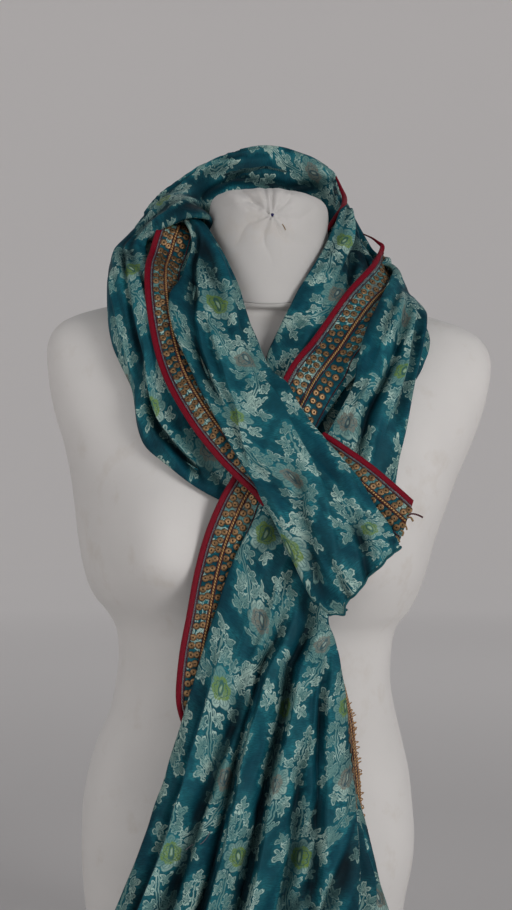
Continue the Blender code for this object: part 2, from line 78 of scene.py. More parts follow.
# Dress form
FORM_POINTS = 160
FORM_RINGS = 170
FORM_POWER = 2.3            # superellipse exponent of its sections
SHOULDER_ROLL = 0.032       # slope of the shoulders, down towards +X
NECK_CENTRE = (19.5, -6.0)
PUCKER_CENTRE = (22.0, -50.0, 699.5)
CAP_SLOPE = 0.10            # fall of the cap towards +X
PUCKER_DEPTH = 4.6          # of the gathers on the cap
NECK_SHADE = 0.80           # painted shade on the cap, whose cover is the same white as the jersey

# How sheets lie
REST_GAP = 2.0 * MM         # from a sheet's bed to the sheet that it lies on
FORM_REST_GAP = 3.0 * MM    # the same, to the dress form
BACK_PLANE = 30.0 * MM      # sheets are stacked on each other in front of this plane
RAY = 25.0 * MM             # how far above a sheet's bed another may be that it lies on
STEEP = 0.35                # the least slope that a gap is worked out for
PUSH_STEP = 5.0 * MM
PUSH_COLUMNS = 22
FINE = 0.01                 # a small step, for directions
HEM_WAVE = 2.2 * MM         # unevenness of a short end
END_FLAPS = {"cross": (0.88, 0.06, 7.0 * MM)}   # corner that hangs: share across, width, reach
LAP = 12.0 * MM             # cloth turned under at a folded edge
LAP_POINTS = 3
ROLL_POINTS = 8             # points round the curl of a folded edge
FOLD_FADE = 0.25            # share of a fold's length over which it rises or dies away
STEEP_SIDE = 0.16           # share of a fold's half width taken by its steep side
PLEAT_SHARE = 1.3           # how deep the long pleats are, beside the small wrinkles
PUSH_PASSES = 8             # times that a push is shared with the points about it
FULL_SHADE_DEPTH = 6.5 * MM     # depth of a fold at which its painted shade is darkest

# Dress form, a row for each section: height, middle, half width, front, back, tilt, roll
TORSO_SECTIONS = (
    (0.0, 0.0, 124, -82, 82, 0, 0),
    (4.0, -2.0, 128.5, -85, 85, 0, 0),
    (45, -2.0, 137, -91, 90, 0, 0),
    (90, -2.0, 143, -98, 96, 0, 0),
    (125, 0.0, 148, -104, 100, 0, 0),
    (152, 1.0, 149, -107, 100, 0, 0),
    (180, 0.5, 147.5, -106, 96, 0, 0),
    (209, 1.5, 143.5, -103, 86, 0, 0),
    (236, 2.5, 136.5, -100, 75, 0, 0),
    (262, 5.0, 128, -97, 66, 0, 0),
    (285, 5.5, 123.5, -95, 60, 0, 0),
    (310, 7.0, 122, -95, 60, 0, 0),
    (335, 8.0, 125, -98, 62, 0, 0),
    (351, 10.0, 135, -101, 65, 0, 0),
    (366, 8.0, 145, -104, 68, 0, 0),
    (385, 7.5, 152.5, -108, 73, 0, 0),
    (416, 9.0, 160, -112, 77, 0, 0),
    (450, 13.0, 168, -112, 81, 0, 0),
    (472, 15.5, 173.5, -109, 83, 0, 0),
    (500, 18.5, 182.5, -103, 83, 0, 0.1),
    (527, 19.0, 191.5, -95, 80, 0, 0.3),
    (555, 19.5, 197.5, -84, 76, 0, 0.6),
    (582, 19.8, 199, -69, 66, 0.02, 1),
    (600, 19.5, 190, -57, 54, 0.05, 1),
    (611, 19.5, 171, -49, 46, 0.09, 1),
    (619, 19.5, 142, -45, 41, 0.15, 1),
    (627, 19.5, 106, -46, 38, 0.23, 0.8),
    (633, 19.5, 77, -50.5, 39, 0.33, 0.4),
    (638, 19.5, 62.0, -53.8, 43, 0.40, 0.1),
    (641.5, 19.5, 56.5, -56.0, 46, 0.44, 0),
    (645.4, 19.5, 54.0, -58.4, 48.2, 0.45, 0),
    (645.9, 19.5, 53.4, -57.8, 47.6, 0.45, 0),
)
# Gathers of the cap in front: x and z of each end, depth (out is positive), half width
CAP_FOLDS = (
    (15.6, 723, 18.6, 703, -1.8, 1.7),
    (19.2, 723, 20.4, 704, 1.6, 2.0),
    (23.0, 723, 22.4, 703, -1.8, 1.7),
    (-4.5, 722, 10.0, 706, -2.2, 2.6),
    (-14.0, 721, -8.0, 712, 1.8, 6.0),
    (10.5, 722, 14.0, 712, 1.4, 3.0),
    (25.0, 700, 38.0, 706, -1.2, 1.6),
    (26.0, 697, 37.0, 691, -1.1, 1.6),
    (2.0, 704, 18.0, 700, -1.2, 1.8),
    (7.0, 694, 18.5, 698, -0.9, 1.8),
    (34.0, 721, 27.0, 704, -1.2, 2.4),
)
NECK_POINTS = 320
# Neck, a row for each section above the tilted seam: height, half width, tilt
NECK_SECTIONS = (
    (646.6, 53.8, 0.45),
    (647.2, 54.3, 0.45),
    (652.0, 54.3, 0.44),
    (662, 53.5, 0.42),
    (680, 53.2, 0.30),
    (696, 53.4, 0.14),
    (708, 53.3, 0.03),
    (716, 51.6, 0.0),
    (721, 48.0, 0.0),
    (723.6, 42.5, 0.0),
    (725.0, 35.0, 0.0),
    (725.8, 20.0, 0.0),
    (726.0, 1.0, 0.0),
)
# Bust: side, height, reach, half width, half height above, half height below
BUST = (
    (-82, 402, 40, 52, 74, 44),
    (82, 402, 40, 52, 74, 44),
)
# The strip, a row for each section: name, then the neck-side edge, the crown and the
# far edge as x, y, z. It starts at the short end and finishes at the tail's hem.
STRIP = (
    ("cross end", (126, -180, 419), (97, -190, 390), (67, -176, 361)),
    ("cross foot", (122, -180, 427), (88, -192, 405), (52, -178, 375)),
    ("cross turn", (117, -178, 435), (77, -190, 420), (34, -174, 409)),
    ("cross low", (107, -174, 448), (61, -184, 445), (15, -168, 449)),
    ("cross belly", (85, -164, 478), (44, -174, 472), (3, -160, 472)),
    ("cross middle", (65, -152, 505), (28, -162, 498), (-9, -150, 496)),
    ("cross chest", (46, -136, 530), (11, -146, 525), (-24, -133, 524)),
    ("cross upper", (26, -112, 558), (-8, -126, 556), (-43, -112, 562)),
    ("cross high", (7, -84, 598), (-24, -99, 598), (-58, -83, 606)),
    ("cross neck", (-10, -60, 650), (-32, -68, 651), (-55, -58, 651)),
    ("cross top", (-32, -34, 689), (-39, -38, 687), (-46, -36, 684)),
    ("under hood", (-46, -6, 684), (-56, 0, 674), (-66, 6, 662)),
    ("neck left", (-58, 30, 694), (-64, 32, 678), (-72, 34, 660)),
    ("neck back left", (-34, 66, 708), (-36, 67, 688), (-40, 68, 658)),
    ("neck back", (19, 77, 712), (19, 78, 688), (19, 79, 658)),
    ("neck back right", (74, 55, 703), (78, 58, 686), (82, 60, 660)),
    ("collar back", (92, 24, 702), (100, 29, 688), (110, 32, 660)),
    ("collar top", (88, -10, 715), (98, 0, 700), (107, 10, 652)),
    ("collar high", (78, -26, 694), (104, -10, 668), (126, -14, 638)),
    ("collar", (62, -44, 663), (105, -39, 641), (159, -50, 601)),
    ("collar low", (46, -58, 634), (97, -65, 610), (155, -76, 571)),
    ("loop right high", (29, -76, 603), (82, -88, 570), (136, -92, 538)),
    ("loop right", (16, -92, 570), (69, -106, 520), (120, -110, 490)),
    ("loop right low", (24, -112, 520), (64, -132, 469), (92, -145, 437)),
    ("loop foot", (38, -122, 480), (40, -133, 444), (43, -135, 412)),
    ("loop left low", (-5, -116, 501), (-15, -129, 475), (-25, -124, 457)),
    ("loop left", (-33, -110, 537), (-51, -122, 506), (-65, -118, 481)),
    ("loop left mid", (-54, -97, 580), (-75, -110, 541), (-91, -102, 505)),
    ("loop left high", (-68, -80, 622), (-85, -95, 586), (-100, -88, 548)),
    ("shoulder front", (-78, -60, 650), (-101, -74, 626), (-118, -66, 586)),
    ("shoulder", (-86, -44, 664), (-113, -54, 653), (-123, -38, 622)),
    ("shoulder top", (-89, -34, 675), (-119, -26, 670), (-121, 4, 641)),
    ("hood", (-86, -32, 685), (-112, 3, 681), (-110, 40, 634)),
    ("hood rise", (-54, -32, 684), (-87, 27, 715), (-86, 62, 628)),
    ("arch left", (-38, -6, 689), (-61, 51, 742), (-57, 78, 622)),
    ("arch back left", (-30, 52, 694), (-26, 66, 763), (-22, 86, 619)),
    ("arch", (16, 64, 694), (14, 77, 776), (20, 88, 618)),
    ("arch back right", (54, 56, 694), (50, 68, 768), (60, 86, 621)),
    ("arch right", (80, 18, 690), (74, 60, 754), (92, 80, 626)),
    ("arch edge", (84, 22, 715), (86, 58, 731), (108, 74, 632)),
    ("arch over", (92, 30, 722), (97, 62, 700), (120, 66, 640)),
    ("right shoulder", (103, 32, 698), (115, 40, 676), (129, 46, 644)),
    ("pinch", (125, 6, 646), (134, 5, 642), (143, 8, 632)),
    ("fall top", (130, -26, 632), (138, -30, 627), (156, -35, 614)),
    ("fall shoulder", (117, -66, 611), (131, -74, 604), (153, -76, 588)),
    ("fall high", (101, -104, 571), (118, -116, 561), (144, -102, 551)),
    ("fall", (83, -130, 537), (105, -138, 526), (137, -124, 514)),
    ("fall low", (64, -142, 507), (95, -148, 493), (127, -135, 480)),
    ("fall waist", (35, -146, 476), (77, -156, 458), (118, -148, 440)),
    ("fall foot", (15, -146, 447), (54, -157, 421), (95, -148, 402)),
    ("tail gather", (-3, -146, 416), (34, -157, 388), (71, -142, 360)),
    ("tail top", (-18, -149, 379), (29, -162, 351), (76, -143, 336)),
    ("tail high", (-30, -151, 341), (25, -165, 313), (83, -143, 304)),
    ("tail upper", (-46, -151, 289), (20, -167, 266), (87, -141, 267)),
    ("tail middle", (-69, -149, 226), (9, -168, 217), (87, -139, 217)),
    ("tail lower", (-89, -148, 168), (-2, -167, 164), (87, -137, 162)),
    ("tail low", (-109, -146, 114), (-12, -166, 115), (85, -135, 110)),
    ("tail foot", (-122, -145, 74), (-18, -165, 76), (85, -133, 72)),
    ("tail end", (-133, -144, 36), (-22, -164, 42), (86, -132, 36)),
)
# Folds of the sheets: sheet, shape, half width, height (a trough is negative), then the
# line of the fold, as places counted in rows of the strip and shares of the way across
FOLDS = (
    ("tail", "right", 20, -16.0, ((50.2, 0.62), (50.7, 0.575), (52.0, 0.425), (53.0, 0.37),
                                  (54.3, 0.38), (55.6, 0.385), (58.0, 0.375))),
    ("tail", "left", 24, 10.0, ((50.2, 0.62), (50.7, 0.575), (52.0, 0.425), (53.0, 0.37),
                                (54.3, 0.38), (55.6, 0.385), (58.0, 0.375))),
    ("tail", "right", 15, -19.0, ((49.6, 0.90), (50.6, 0.82), (51.8, 0.64), (52.8, 0.595),
                                  (54.2, 0.555), (55.6, 0.555), (58.0, 0.555))),
    ("tail", "left", 26, 9.0, ((49.6, 0.90), (50.6, 0.82), (51.8, 0.64), (52.8, 0.595),
                               (54.2, 0.555), (55.6, 0.555), (58.0, 0.555))),
    ("tail", "left", 24, 9.0, ((51.6, 0.10), (53.1, 0.115), (53.8, 0.12), (54.8, 0.12),
                               (55.6, 0.11), (58.0, 0.10))),
    ("tail", "right", 12, -9.0, ((51.6, 0.10), (53.1, 0.115), (53.8, 0.12), (54.8, 0.12),
                                 (55.6, 0.11), (58.0, 0.10))),
    ("tail", "right", 11, -10.0, ((51.0, 0.93), (52.4, 0.84), (53.6, 0.83), (55.5, 0.84),
                                  (58.0, 0.84))),
    ("tail", "left", 16, 6.0, ((51.0, 0.93), (52.4, 0.84), (53.6, 0.83), (55.5, 0.84),
                               (58.0, 0.84))),
    ("tail", "soft", 9, -8.0, ((52.0, 0.30), (53.5, 0.26), (54.5, 0.23), (55.6, 0.22),
                               (58.0, 0.21))),
    ("tail", "soft", 9, -8.0, ((53.0, 0.72), (54.7, 0.72), (58.0, 0.72))),
    ("tail", "left", 14, 4.0, ((50.6, 0.86), (52.4, 0.77), (54.2, 0.74))),
    ("tail", "right", 9, 4.0, ((50.0, 0.30), (51.4, 0.24), (52.6, 0.20))),
    ("tail", "soft", 6, 4.0, ((50.0, 0.46), (51.4, 0.38), (52.4, 0.30))),
    ("cross", "right", 16, 6.4, ((8.4, 0.62), (7.2, 0.60), (5.4, 0.80), (4.2, 0.94))),
    ("cross", "left", 20, 5.6, ((8.0, 0.26), (7.0, 0.20), (4.6, 0.30), (3.4, 0.40),
                                (2.1, 0.55), (0.4, 0.78))),
    ("cross", "soft", 6, -6.4, ((10.6, 0.84), (9.4, 0.86), (8.5, 0.80), (7.3, 0.84),
                                (6.0, 0.90))),
    ("cross", "soft", 9, -4.8, ((4.9, 0.44), (3.3, 0.64), (1.9, 0.82), (0.6, 0.92))),
    ("cross", "soft", 8, 5.6, ((4.6, 0.08), (2.9, 0.18), (0.0, 0.30))),
    ("cross", "soft", 7, -4.8, ((3.2, 0.24), (1.6, 0.34), (0.0, 0.46))),
    ("cross", "soft", 8, 4.8, ((10.0, 0.30), (8.6, 0.24), (7.2, 0.30), (6.2, 0.44))),
    ("cross", "soft", 7, 4.8, ((1.8, 0.60), (0.0, 0.66))),
    ("wrap", "soft", 7, -5.8, ((31.2, 0.30), (29.6, 0.42), (28.7, 0.58), (27.5, 0.72))),
    ("wrap", "right", 12, 5.8, ((28.4, 0.50), (27.1, 0.58), (26.3, 0.64), (25.4, 0.76))),
    ("wrap", "soft", 7, -10.2, ((27.6, 0.60), (27.1, 0.68), (26.3, 0.72), (25.7, 0.77),
                               (25.1, 0.84))),
    ("wrap", "soft", 5, 4.3, ((30.4, 0.62), (29.0, 0.74), (27.6, 0.86))),
    ("wrap", "soft", 6, -5.1, ((29.6, 0.16), (28.4, 0.24), (27.0, 0.30))),
    ("wrap", "right", 11, 2.0, ((31.6, 0.30), (32.4, 0.24), (33.8, 0.30), (34.9, 0.35),
                                (35.7, 0.44), (36.7, 0.46), (37.8, 0.44), (38.8, 0.40))),
    ("wrap", "left", 9, -10.2, ((31.8, 0.36), (33.0, 0.50), (34.4, 0.56), (35.4, 0.60),
                               (36.6, 0.62), (38.4, 0.56))),
    ("wrap", "soft", 8, -5.8, ((34.0, 0.10), (35.4, 0.18), (36.6, 0.14), (38.0, 0.20))),
    ("wrap", "soft", 14, -8.7, ((32.0, 0.62), (34.0, 0.60), (36.0, 0.64), (39.0, 0.66))),
    ("wrap", "soft", 12, 8.7, ((31.4, 0.84), (34.0, 0.82), (36.0, 0.84), (39.0, 0.84))),
    ("wrap", "soft", 5, -3.0, ((43.2, 0.30), (44.0, 0.26), (45.4, 0.18))),
    ("wrap", "soft", 7, 4.0, ((43.2, 0.44), (44.2, 0.42), (45.4, 0.34), (47.4, 0.24))),
    ("wrap", "soft", 6, -6.4, ((43.0, 0.52), (43.8, 0.56), (44.8, 0.54), (46.4, 0.46),
                               (48.0, 0.40))),
    ("wrap", "right", 12, 5.0, ((43.0, 0.66), (43.8, 0.72), (44.8, 0.74), (46.8, 0.70))),
    ("wrap", "soft", 6, -5.4, ((43.2, 0.84), (43.9, 0.86), (44.6, 0.88), (46.4, 0.84))),
    ("wrap", "soft", 7, 5.1, ((45.0, 0.62), (47.0, 0.58), (49.0, 0.55))),
    ("collar", "soft", 7, -5.2, ((17.0, 0.34), (18.6, 0.36), (20.0, 0.42), (21.4, 0.48))),
    ("collar", "right", 12, 4.5, ((16.6, 0.22), (18.2, 0.26), (19.6, 0.24), (21.0, 0.20))),
    ("collar", "soft", 5, -4.5, ((17.0, 0.62), (18.4, 0.60), (20.2, 0.62))),
)

# Single plies that show beside a folded edge, a row for each section: the cut edge that
# carries the border, then the side that is tucked away, as x, y, z
CROSS_HEM = (
    ((-78, -22, 688), (-38, -8, 684)),
    ((-86, -52, 650), (-36, -42, 650)),
    ((-83, -82, 611), (-34, -74, 612)),
    ((-70, -112, 562), (-30, -104, 567)),
    ((-47, -134, 520), (-14, -126, 535)),
    ((-20, -148, 486), (5, -142, 508)),
    ((5, -156, 462), (26, -152, 483)),
    ((16, -158, 450), (38, -154, 470)),
)
FALL_HEM = (
    ((121, -4, 677), (128, 2, 645)),
    ((113, -24, 661), (123, -18, 631)),
    ((86, -57, 628), (118, -50, 605)),
    ((61, -86, 592), (98, -82, 569)),
    ((42, -108, 569), (81, -106, 544)),
    ((29, -122, 546), (64, -120, 520)),
    ((10, -133, 510), (45, -132, 490)),
)
TAIL_HEM = (
    ((10, -133, 510), (45, -132, 490)),
    ((-8, -138, 474), (28, -138, 460)),
    ((-20, -140, 453), (16, -140, 437)),
    ((-32, -142, 424), (2, -142, 412)),
    ((-41, -144, 391), (-9, -144, 383)),
    ((-47, -146, 358), (-17, -146, 350)),
    ((-53, -147, 325), (-26, -147, 318)),
    ((-56, -145, 288), (-36, -145, 285)),
    ((-50, -139, 264), (-34, -139, 261)),
)
END_PLY = (
    ((136, -168, 451), (124, -170, 417)),
    ((122, -164, 464), (108, -168, 432)),
    ((102, -158, 481), (85, -162, 452)),
    ((81, -152, 496), (64, -154, 470)),
    ((63, -146, 508), (44, -146, 490)),
)
TAIL_BACK_PLY = (
    ((80, -132, 298), (82, -102, 296)),
    ((83, -133, 272), (88, -103, 270)),
    ((86, -133, 242), (92, -103, 240)),
    ((90, -131, 205), (96, -102, 203)),
    ((93, -128, 170), (99, -101, 168)),
    ((98, -125, 110), (103, -99, 108)),
    ((102, -124, 38), (107, -99, 38)),
)
# Pleats that stand out behind the tail, a row for each section as in the strip
TAIL_PLEAT = (
    ((58, -134, 236), (72, -138, 234), (84, -130, 232)),
    ((60, -134, 205), (78, -139, 204), (90, -131, 203)),
    ((63, -135, 170), (81, -141, 169), (94, -132, 168)),
    ((66, -135, 135), (86, -142, 134), (98, -132, 133)),
    ((68, -135, 100), (89, -142, 99), (101, -132, 98)),
    ((70, -135, 68), (92, -142, 67), (104, -132, 66)),
    ((72, -135, 37), (95, -142, 37), (108, -132, 37)),
)
TAIL_RETURN = (
    ((70, -121, 222), (82, -125, 221), (90, -118, 220)),
    ((73, -122, 195), (87, -128, 194), (98, -120, 193)),
    ((77, -122, 160), (95, -129, 159), (107, -120, 158)),
    ((82, -122, 128), (102, -129, 127), (115, -120, 126)),
    ((86, -122, 100), (109, -129, 99), (123, -120, 98)),
    ((90, -122, 68), (114, -129, 67), (129, -120, 66)),
    ((94, -122, 38), (118, -129, 38), (133, -120, 38)),
)
# Bare piping of the strip's other edge: x, y, z and width
ARCH_TRIM = ((80, 56, 753, 1.0), (82, 50, 748, 1.6), (86, 40, 736, 3.4), (89, 26, 725, 4.6),
             (87, 10, 715, 4.8), (81, -2, 706, 4.4), (74, -12, 695, 4.0), (69, -16, 688, 3.6))
CORNER_TRIM = ((106, 24, 692, 1.2), (113, 11, 687, 1.8), (118, 2, 682, 2.8),
               (121.5, -5, 677.5, 4.2), (118.5, -12, 669, 4.6), (113, -24, 661, 4.6))
# Loose threads: width, then the line
LOOSE_THREADS = (
    (1.5, ((130, -184, 441), (134, -185, 443), (139, -184, 442), (143, -183, 440))),
    (1.6, ((130, -184, 440), (133, -186, 440), (135, -185, 437))),
    (1.4, ((127, -185, 434), (129, -186, 433), (130, -186, 430))),
    (1.4, ((125, -186, 430), (127, -187, 428), (126, -187, 425))),
    (1.3, ((121, -186, 425), (123, -187, 423), (124, -187, 420))),
)
STRAY_THREAD = ((-50, 166), (-44, 170.5), (-37, 173), (-32, 178), (-29, 183))
# Worn gold at the tail's edge: loops, their span along it, then reach, drop and lift
FRAY_LOOPS = 34
FRAY_SEED = 19
FRAY_SPAN = (0.12, 0.86)
FRAY_LEAST = (2.4, -2.4, -0.8)
FRAY_MOST = (5.0, 2.4, 0.8)
FRAY_HALF = 0.45 * MM
FRAY_SIDES = 6
WORN_WIDTH = (1.1, 0.9)         # of the piping there: mean share, unevenness
WORN_BEAT = 0.7
WORN_SEED = 77
KNOT_PLACE = (22.6, 699.5)
SNAG = ((31.0, 691.5), (32.6, 689.0), (33.8, 686.4))

# Rolls of the strip's folded edges: row, neck side, far side
ROLLS = (
    ("cross end", 2.6, 3.0), ("cross top", 3.0, 3.5), ("neck left", 0.6, 0.6),
    ("neck back", 0.6, 0.6), ("collar back", 2.4, 2.8), ("loop foot", 2.6, 3.0),
    ("loop left", 3.0, 3.5), ("shoulder top", 3.0, 3.2), ("fall foot", 3.0, 3.0),
    ("tail high", 3.0, 3.5), ("tail end", 3.0, 3.5),
)
# Sheets: rows of its table, first row, last row, points across the face, place of the
# weave's anchor line, which way up the motif is, where the weave starts across and along
SHEETS = {
    "collar": (STRIP, "neck back", "loop foot", 60, 0.0, -1, 0.031, 0.174),
    "wrap": (STRIP, "loop foot", "fall foot", 90, 0.5, 1, -0.011, -0.151),
    "tail": (STRIP, "fall foot", "tail end", 190, 0.5, -1, -0.064, 0.143),
    "tail_pleat": (TAIL_PLEAT, 0, 6, 24, 1.0, -1, -0.024, 0.148),
    "tail_return": (TAIL_RETURN, 0, 6, 24, 1.0, -1, 0.05, 0.04),
    "cross": (STRIP, "cross end", "neck back", 90, 0.5, 1, -0.025, -0.164),
}
PLEAT_ROLL = 2.4 * MM
# Plies: rows, which side the cut edge is, where the weave starts across and along
PLIES = {
    "fall_hem": (FALL_HEM, 0, 0.0, 0.0),
    "tail_hem": (TAIL_HEM, 0, 0.0, 0.0),
    "tail_back_ply": (TAIL_BACK_PLY, 1, 0.0, 0.0),
    "cross_hem": (CROSS_HEM, 0, 0.0, 0.0),
    "cross_end_ply": (END_PLY, 0, 0.0, 0.0),
}
PLY_COLUMNS = 24
PLY_CROWN = 2.0 * MM

# Border, measured from the piping's inner side into the cloth
BORDER_THREAD = 0.7 * MM
BORDER_LINES = (2.0 * MM, 27.4 * MM)
BORDER_CORD = 13.6 * MM
BORDER_COUCHING = (12.2 * MM, 15.1 * MM)
BORDER_SEQUINS = (4.8 * MM, 9.4 * MM, 18.2 * MM, 23.0 * MM)
BORDER_SPREAD = {"fall_hem": 1.4}   # the border is pulled wider on this ply


# ---------------------------------------------------------------- curves and sheets

def through(rows, places):
    """Catmull-Rom curve through the rows, at places counted in rows."""
    rows = np.asarray(rows, float)
    places = np.clip(np.asarray(places, float), 0, len(rows) - 1)
    low = np.minimum(places.astype(int), len(rows) - 2)
    part = (places - low).reshape((-1,) + (1,) * (rows.ndim - 1))
    before, after = np.maximum(low - 1, 0), np.minimum(low + 2, len(rows) - 1)
    a, b, c, d = rows[before], rows[low], rows[low + 1], rows[after]
    return 0.5 * (2 * b + (c - a) * part + (2 * a - 5 * b + 4 * c - d) * part ** 2
                  + (3 * b - a - 3 * c + d) * part ** 3)


def on_section(sections, across):
    """Points on each section's curve, which passes its edge, crown and far edge."""
    s = across[..., None]
    near, crown, far = (sections[:, None, k] for k in range(3))
    return near * (1 - s) * (1 - 2 * s) + crown * 4 * s * (1 - s) + far * s * (2 * s - 1)


STRIP_NAMES = [row[0] for row in STRIP]


def row_points(table):
    """The sections of a table, without the names of its rows."""
    return np.array([row[-3:] for row in table], float)


def row_number(row):
    return STRIP_NAMES.index(row) if isinstance(row, str) else row


def unit(vectors):
    return vectors / np.maximum(np.linalg.norm(vectors, axis=-1, keepdims=True), 1e-9)


def strip_surface(rows, places, across):
    """Points of a table's smooth face, its outward and its sideways directions."""
    sections = through(rows, places) * MM
    ahead = on_section(through(rows, places + FINE) * MM, across)
    behind = on_section(through(rows, places - FINE) * MM, across)
    sideways = on_section(sections, across + FINE) - on_section(sections, across - FINE)
    up = unit(np.cross(ahead - behind, sideways))
    return on_section(sections, across), up, unit(sideways)


def strip_widths(rows, places):
    sections = through(rows, places) * MM
    return np.linalg.norm(np.diff(sections, axis=1), axis=2).sum(axis=1)


def even_places(rows, start, end, step):
    """Places along a table, at even distances along its crown."""
    tries = np.linspace(start, end, 40 * (end - start) + 1)
    line = through(rows[:, 1], tries) * MM
    run = np.concatenate([[0], np.cumsum(np.linalg.norm(np.diff(line, axis=0), axis=1))])
    count = max(2, int(round(run[-1] / step)) + 1)
    return np.interp(np.linspace(0, run[-1], count), run, tries), run[-1]


def smooth_fall(distance):
    """1 at the middle of a fold, 0 past its edges."""
    inside = np.clip(1 - np.abs(distance), 0, 1)
    return inside * inside * (3 - 2 * inside)


# Painted shade along each sheet, darkest on the rows that lie in shade: row, depth
PAINTED_ROW_SHADE = {
    "collar": ((16.0, 0.55), (18.0, 0.30), (21.0, 0.20)),
    "wrap": ((24.0, 0.25), (28.0, 0.15), (31.0, 0.15), (33.0, 0.45), (38.0, 0.55), (40.0, 0.35),
             (43.0, 0.10), (49.0, 0.15)),
    "tail": ((49.0, 0.10), (52.0, 0.18), (54.0, 0.32), (58.0, 0.40)),
    "tail_pleat": ((0.0, 0.3), (6.0, 0.3)),
    "tail_return": ((0.0, 0.4), (6.0, 0.4)),
    "cross": ((0.0, 0.0), (6.0, 0.0), (8.0, 0.10), (10.0, 0.35)),
}


def fold_shape(kind, distance):
    """The section of a fold: soft, or steep on one side and easy on the other."""
    if kind == "soft":
        return smooth_fall(distance)
    easy = distance if kind == "left" else -distance
    steep = np.clip(1 + easy / STEEP_SIDE, 0, 1)
    return np.where(easy < 0, steep * steep * (3 - 2 * steep),
                    np.clip(1 - easy, 0, 1) ** 1.6)


def fold_heights(name, places, across, widths, last_row):
    """What the folds add to the height of each point of a sheet."""
    total = np.zeros(across.shape)
    for sheet, kind, half_width, height, line in FOLDS:
        if sheet != name:
            continue
        line = sorted(line)
        stops = np.array([row[0] for row in line])
        middle = np.interp(places, stops, [row[1] for row in line])
        length = stops[-1] - stops[0]
        rise = (places - stops[0]) / (FOLD_FADE * length)
        fall = (stops[-1] - places) / (FOLD_FADE * length)
        if stops[0] == 0:
            rise = np.ones(len(places))
        if stops[-1] == last_row:
            fall = np.ones(len(places))
        reach = np.clip(np.minimum(rise, fall), 0, 1)
        reach = reach * reach * (3 - 2 * reach)
        share = half_width * MM / widths
        total += height * MM * reach[:, None] * fold_shape(
            kind, (across - middle[:, None]) / share[:, None])
    return total


def noise(u, v, seed):
    """Smooth noise from -1 to 1 on a grid of chosen values one unit apart."""
    table = np.random.default_rng(seed).uniform(-1, 1, (64, 64))
    i, j = np.floor(u).astype(int), np.floor(v).astype(int)
    s, t = u - i, v - j
    s, t = s * s * (3 - 2 * s), t * t * (3 - 2 * t)
    a, b = table[i % 64, j % 64], table[(i + 1) % 64, j % 64]
    c, d = table[i % 64, (j + 1) % 64], table[(i + 1) % 64, (j + 1) % 64]
    return (a * (1 - s) + b * s) * (1 - t) + (c * (1 - s) + d * s) * t


def curl(roll):
    """The curled edge of a sheet, from the cloth turned under, round to its face."""
    turns = [math.pi * step / ROLL_POINTS for step in range(ROLL_POINTS + 1)]
    laps = [LAP * (1 - step / LAP_POINTS) + roll * step / LAP_POINTS
            for step in range(LAP_POINTS)]
    across = laps + [roll * (1 - math.sin(turn)) for turn in turns]
    height = [0.0] * LAP_POINTS + [roll * (1 - math.cos(turn)) for turn in turns]
    return np.array(across), np.array(height)


def profile(width, near_roll, far_roll, count):
    """The section of a sheet whose edges curl under: across it, and off its bed."""
    across, height = curl(near_roll)
    far_across, far_height = curl(far_roll)
    shrink = min(1.0, 0.35 * width / LAP)
    across = np.where(across > near_roll, near_roll + (across - near_roll) * shrink, across)
    far_across = np.where(far_across > far_roll,
                          far_roll + (far_across - far_roll) * shrink, far_across)
    parts = np.arange(1, count + 1) / (count + 1)
    first, last = across[-1], width - far_across[-1]
    inner = first + (last - first) * parts
    inner_height = height[-1] + (far_height[-1] - height[-1]) * parts
    return (np.concatenate([across, inner, width - far_across[::-1]]),
            np.concatenate([height, inner_height, far_height[::-1]]))


def resized(values, rows, columns):
    """A grid of numbers read off at other rows and columns, both counted from 0 to 1."""
    i = np.clip(rows, 0, 1) * (values.shape[0] - 1)
    j = np.clip(columns, 0, 1) * (values.shape[1] - 1)
    a = np.minimum(i.astype(int), values.shape[0] - 2)
    b = np.minimum(j.astype(int), values.shape[1] - 2)
    s, t = i - a, j - b
    return ((values[a, b] * (1 - s) + values[a + 1, b] * s) * (1 - t)
            + (values[a, b + 1] * (1 - s) + values[a + 1, b + 1] * s) * t)


def eased(push, passes):
    """Shares each push with the points about it, so that a sheet bridges what it is on."""
    for _ in range(passes):
        wide = np.pad(push, 1, mode="edge")
        about = (wide[:-2, 1:-1] + wide[2:, 1:-1] + wide[1:-1, :-2] + wide[1:-1, 2:]) / 4
        push = np.maximum(push, about)
    return push


def largest_near(push, reach):
    wide = np.pad(push, reach, mode="edge")
    rows, columns = push.shape
    steps = range(2 * reach + 1)
    return np.maximum.reduce([wide[i:i + rows, j:j + columns] for i in steps for j in steps])


def blurred(push):
    wide = np.pad(push, 1, mode="edge")
    rows = (wide[:-2] + 2 * wide[1:-1] + wide[2:]) / 4
    return (rows[:, :-2] + 2 * rows[:, 1:-1] + rows[:, 2:]) / 4


def pushes(bed, up, form_tree, cloth_trees, form_gap=FORM_REST_GAP, rest_gap=REST_GAP):
    """How far out each point of a bed goes to be clear of the form and the cloth below."""
    push = np.zeros(bed.shape[:2])
    for index in np.ndindex(push.shape):
        point, out = Vector(bed[index]), Vector(up[index])
        spot, normal, _, _ = form_tree.find_nearest(point)
        slope = max(STEEP, normal.dot(out))
        far_out = max(0.0, (form_gap - (point - spot).dot(normal)) / slope)
        if point.y <= BACK_PLANE:
            for tree in cloth_trees:
                spot, normal, _, far = tree.ray_cast(point + out * RAY, -out)
                if spot is not None:
                    needed = rest_gap / max(STEEP, abs(normal.dot(out)))
                    far_out = max(far_out, RAY - far + needed)
        push[index] = far_out
    return push


def grid_faces(rows, columns, closed=False):
    """Faces between rows of points; closed joins each row's last point to its first."""
    step = np.arange(columns if closed else columns - 1)
    level = np.arange(rows - 1)[:, None] * columns
    a, b = (level + step).ravel(), (level + (step + 1) % columns).ravel()
    return np.stack([a, a + columns, b + columns, b], axis=1)


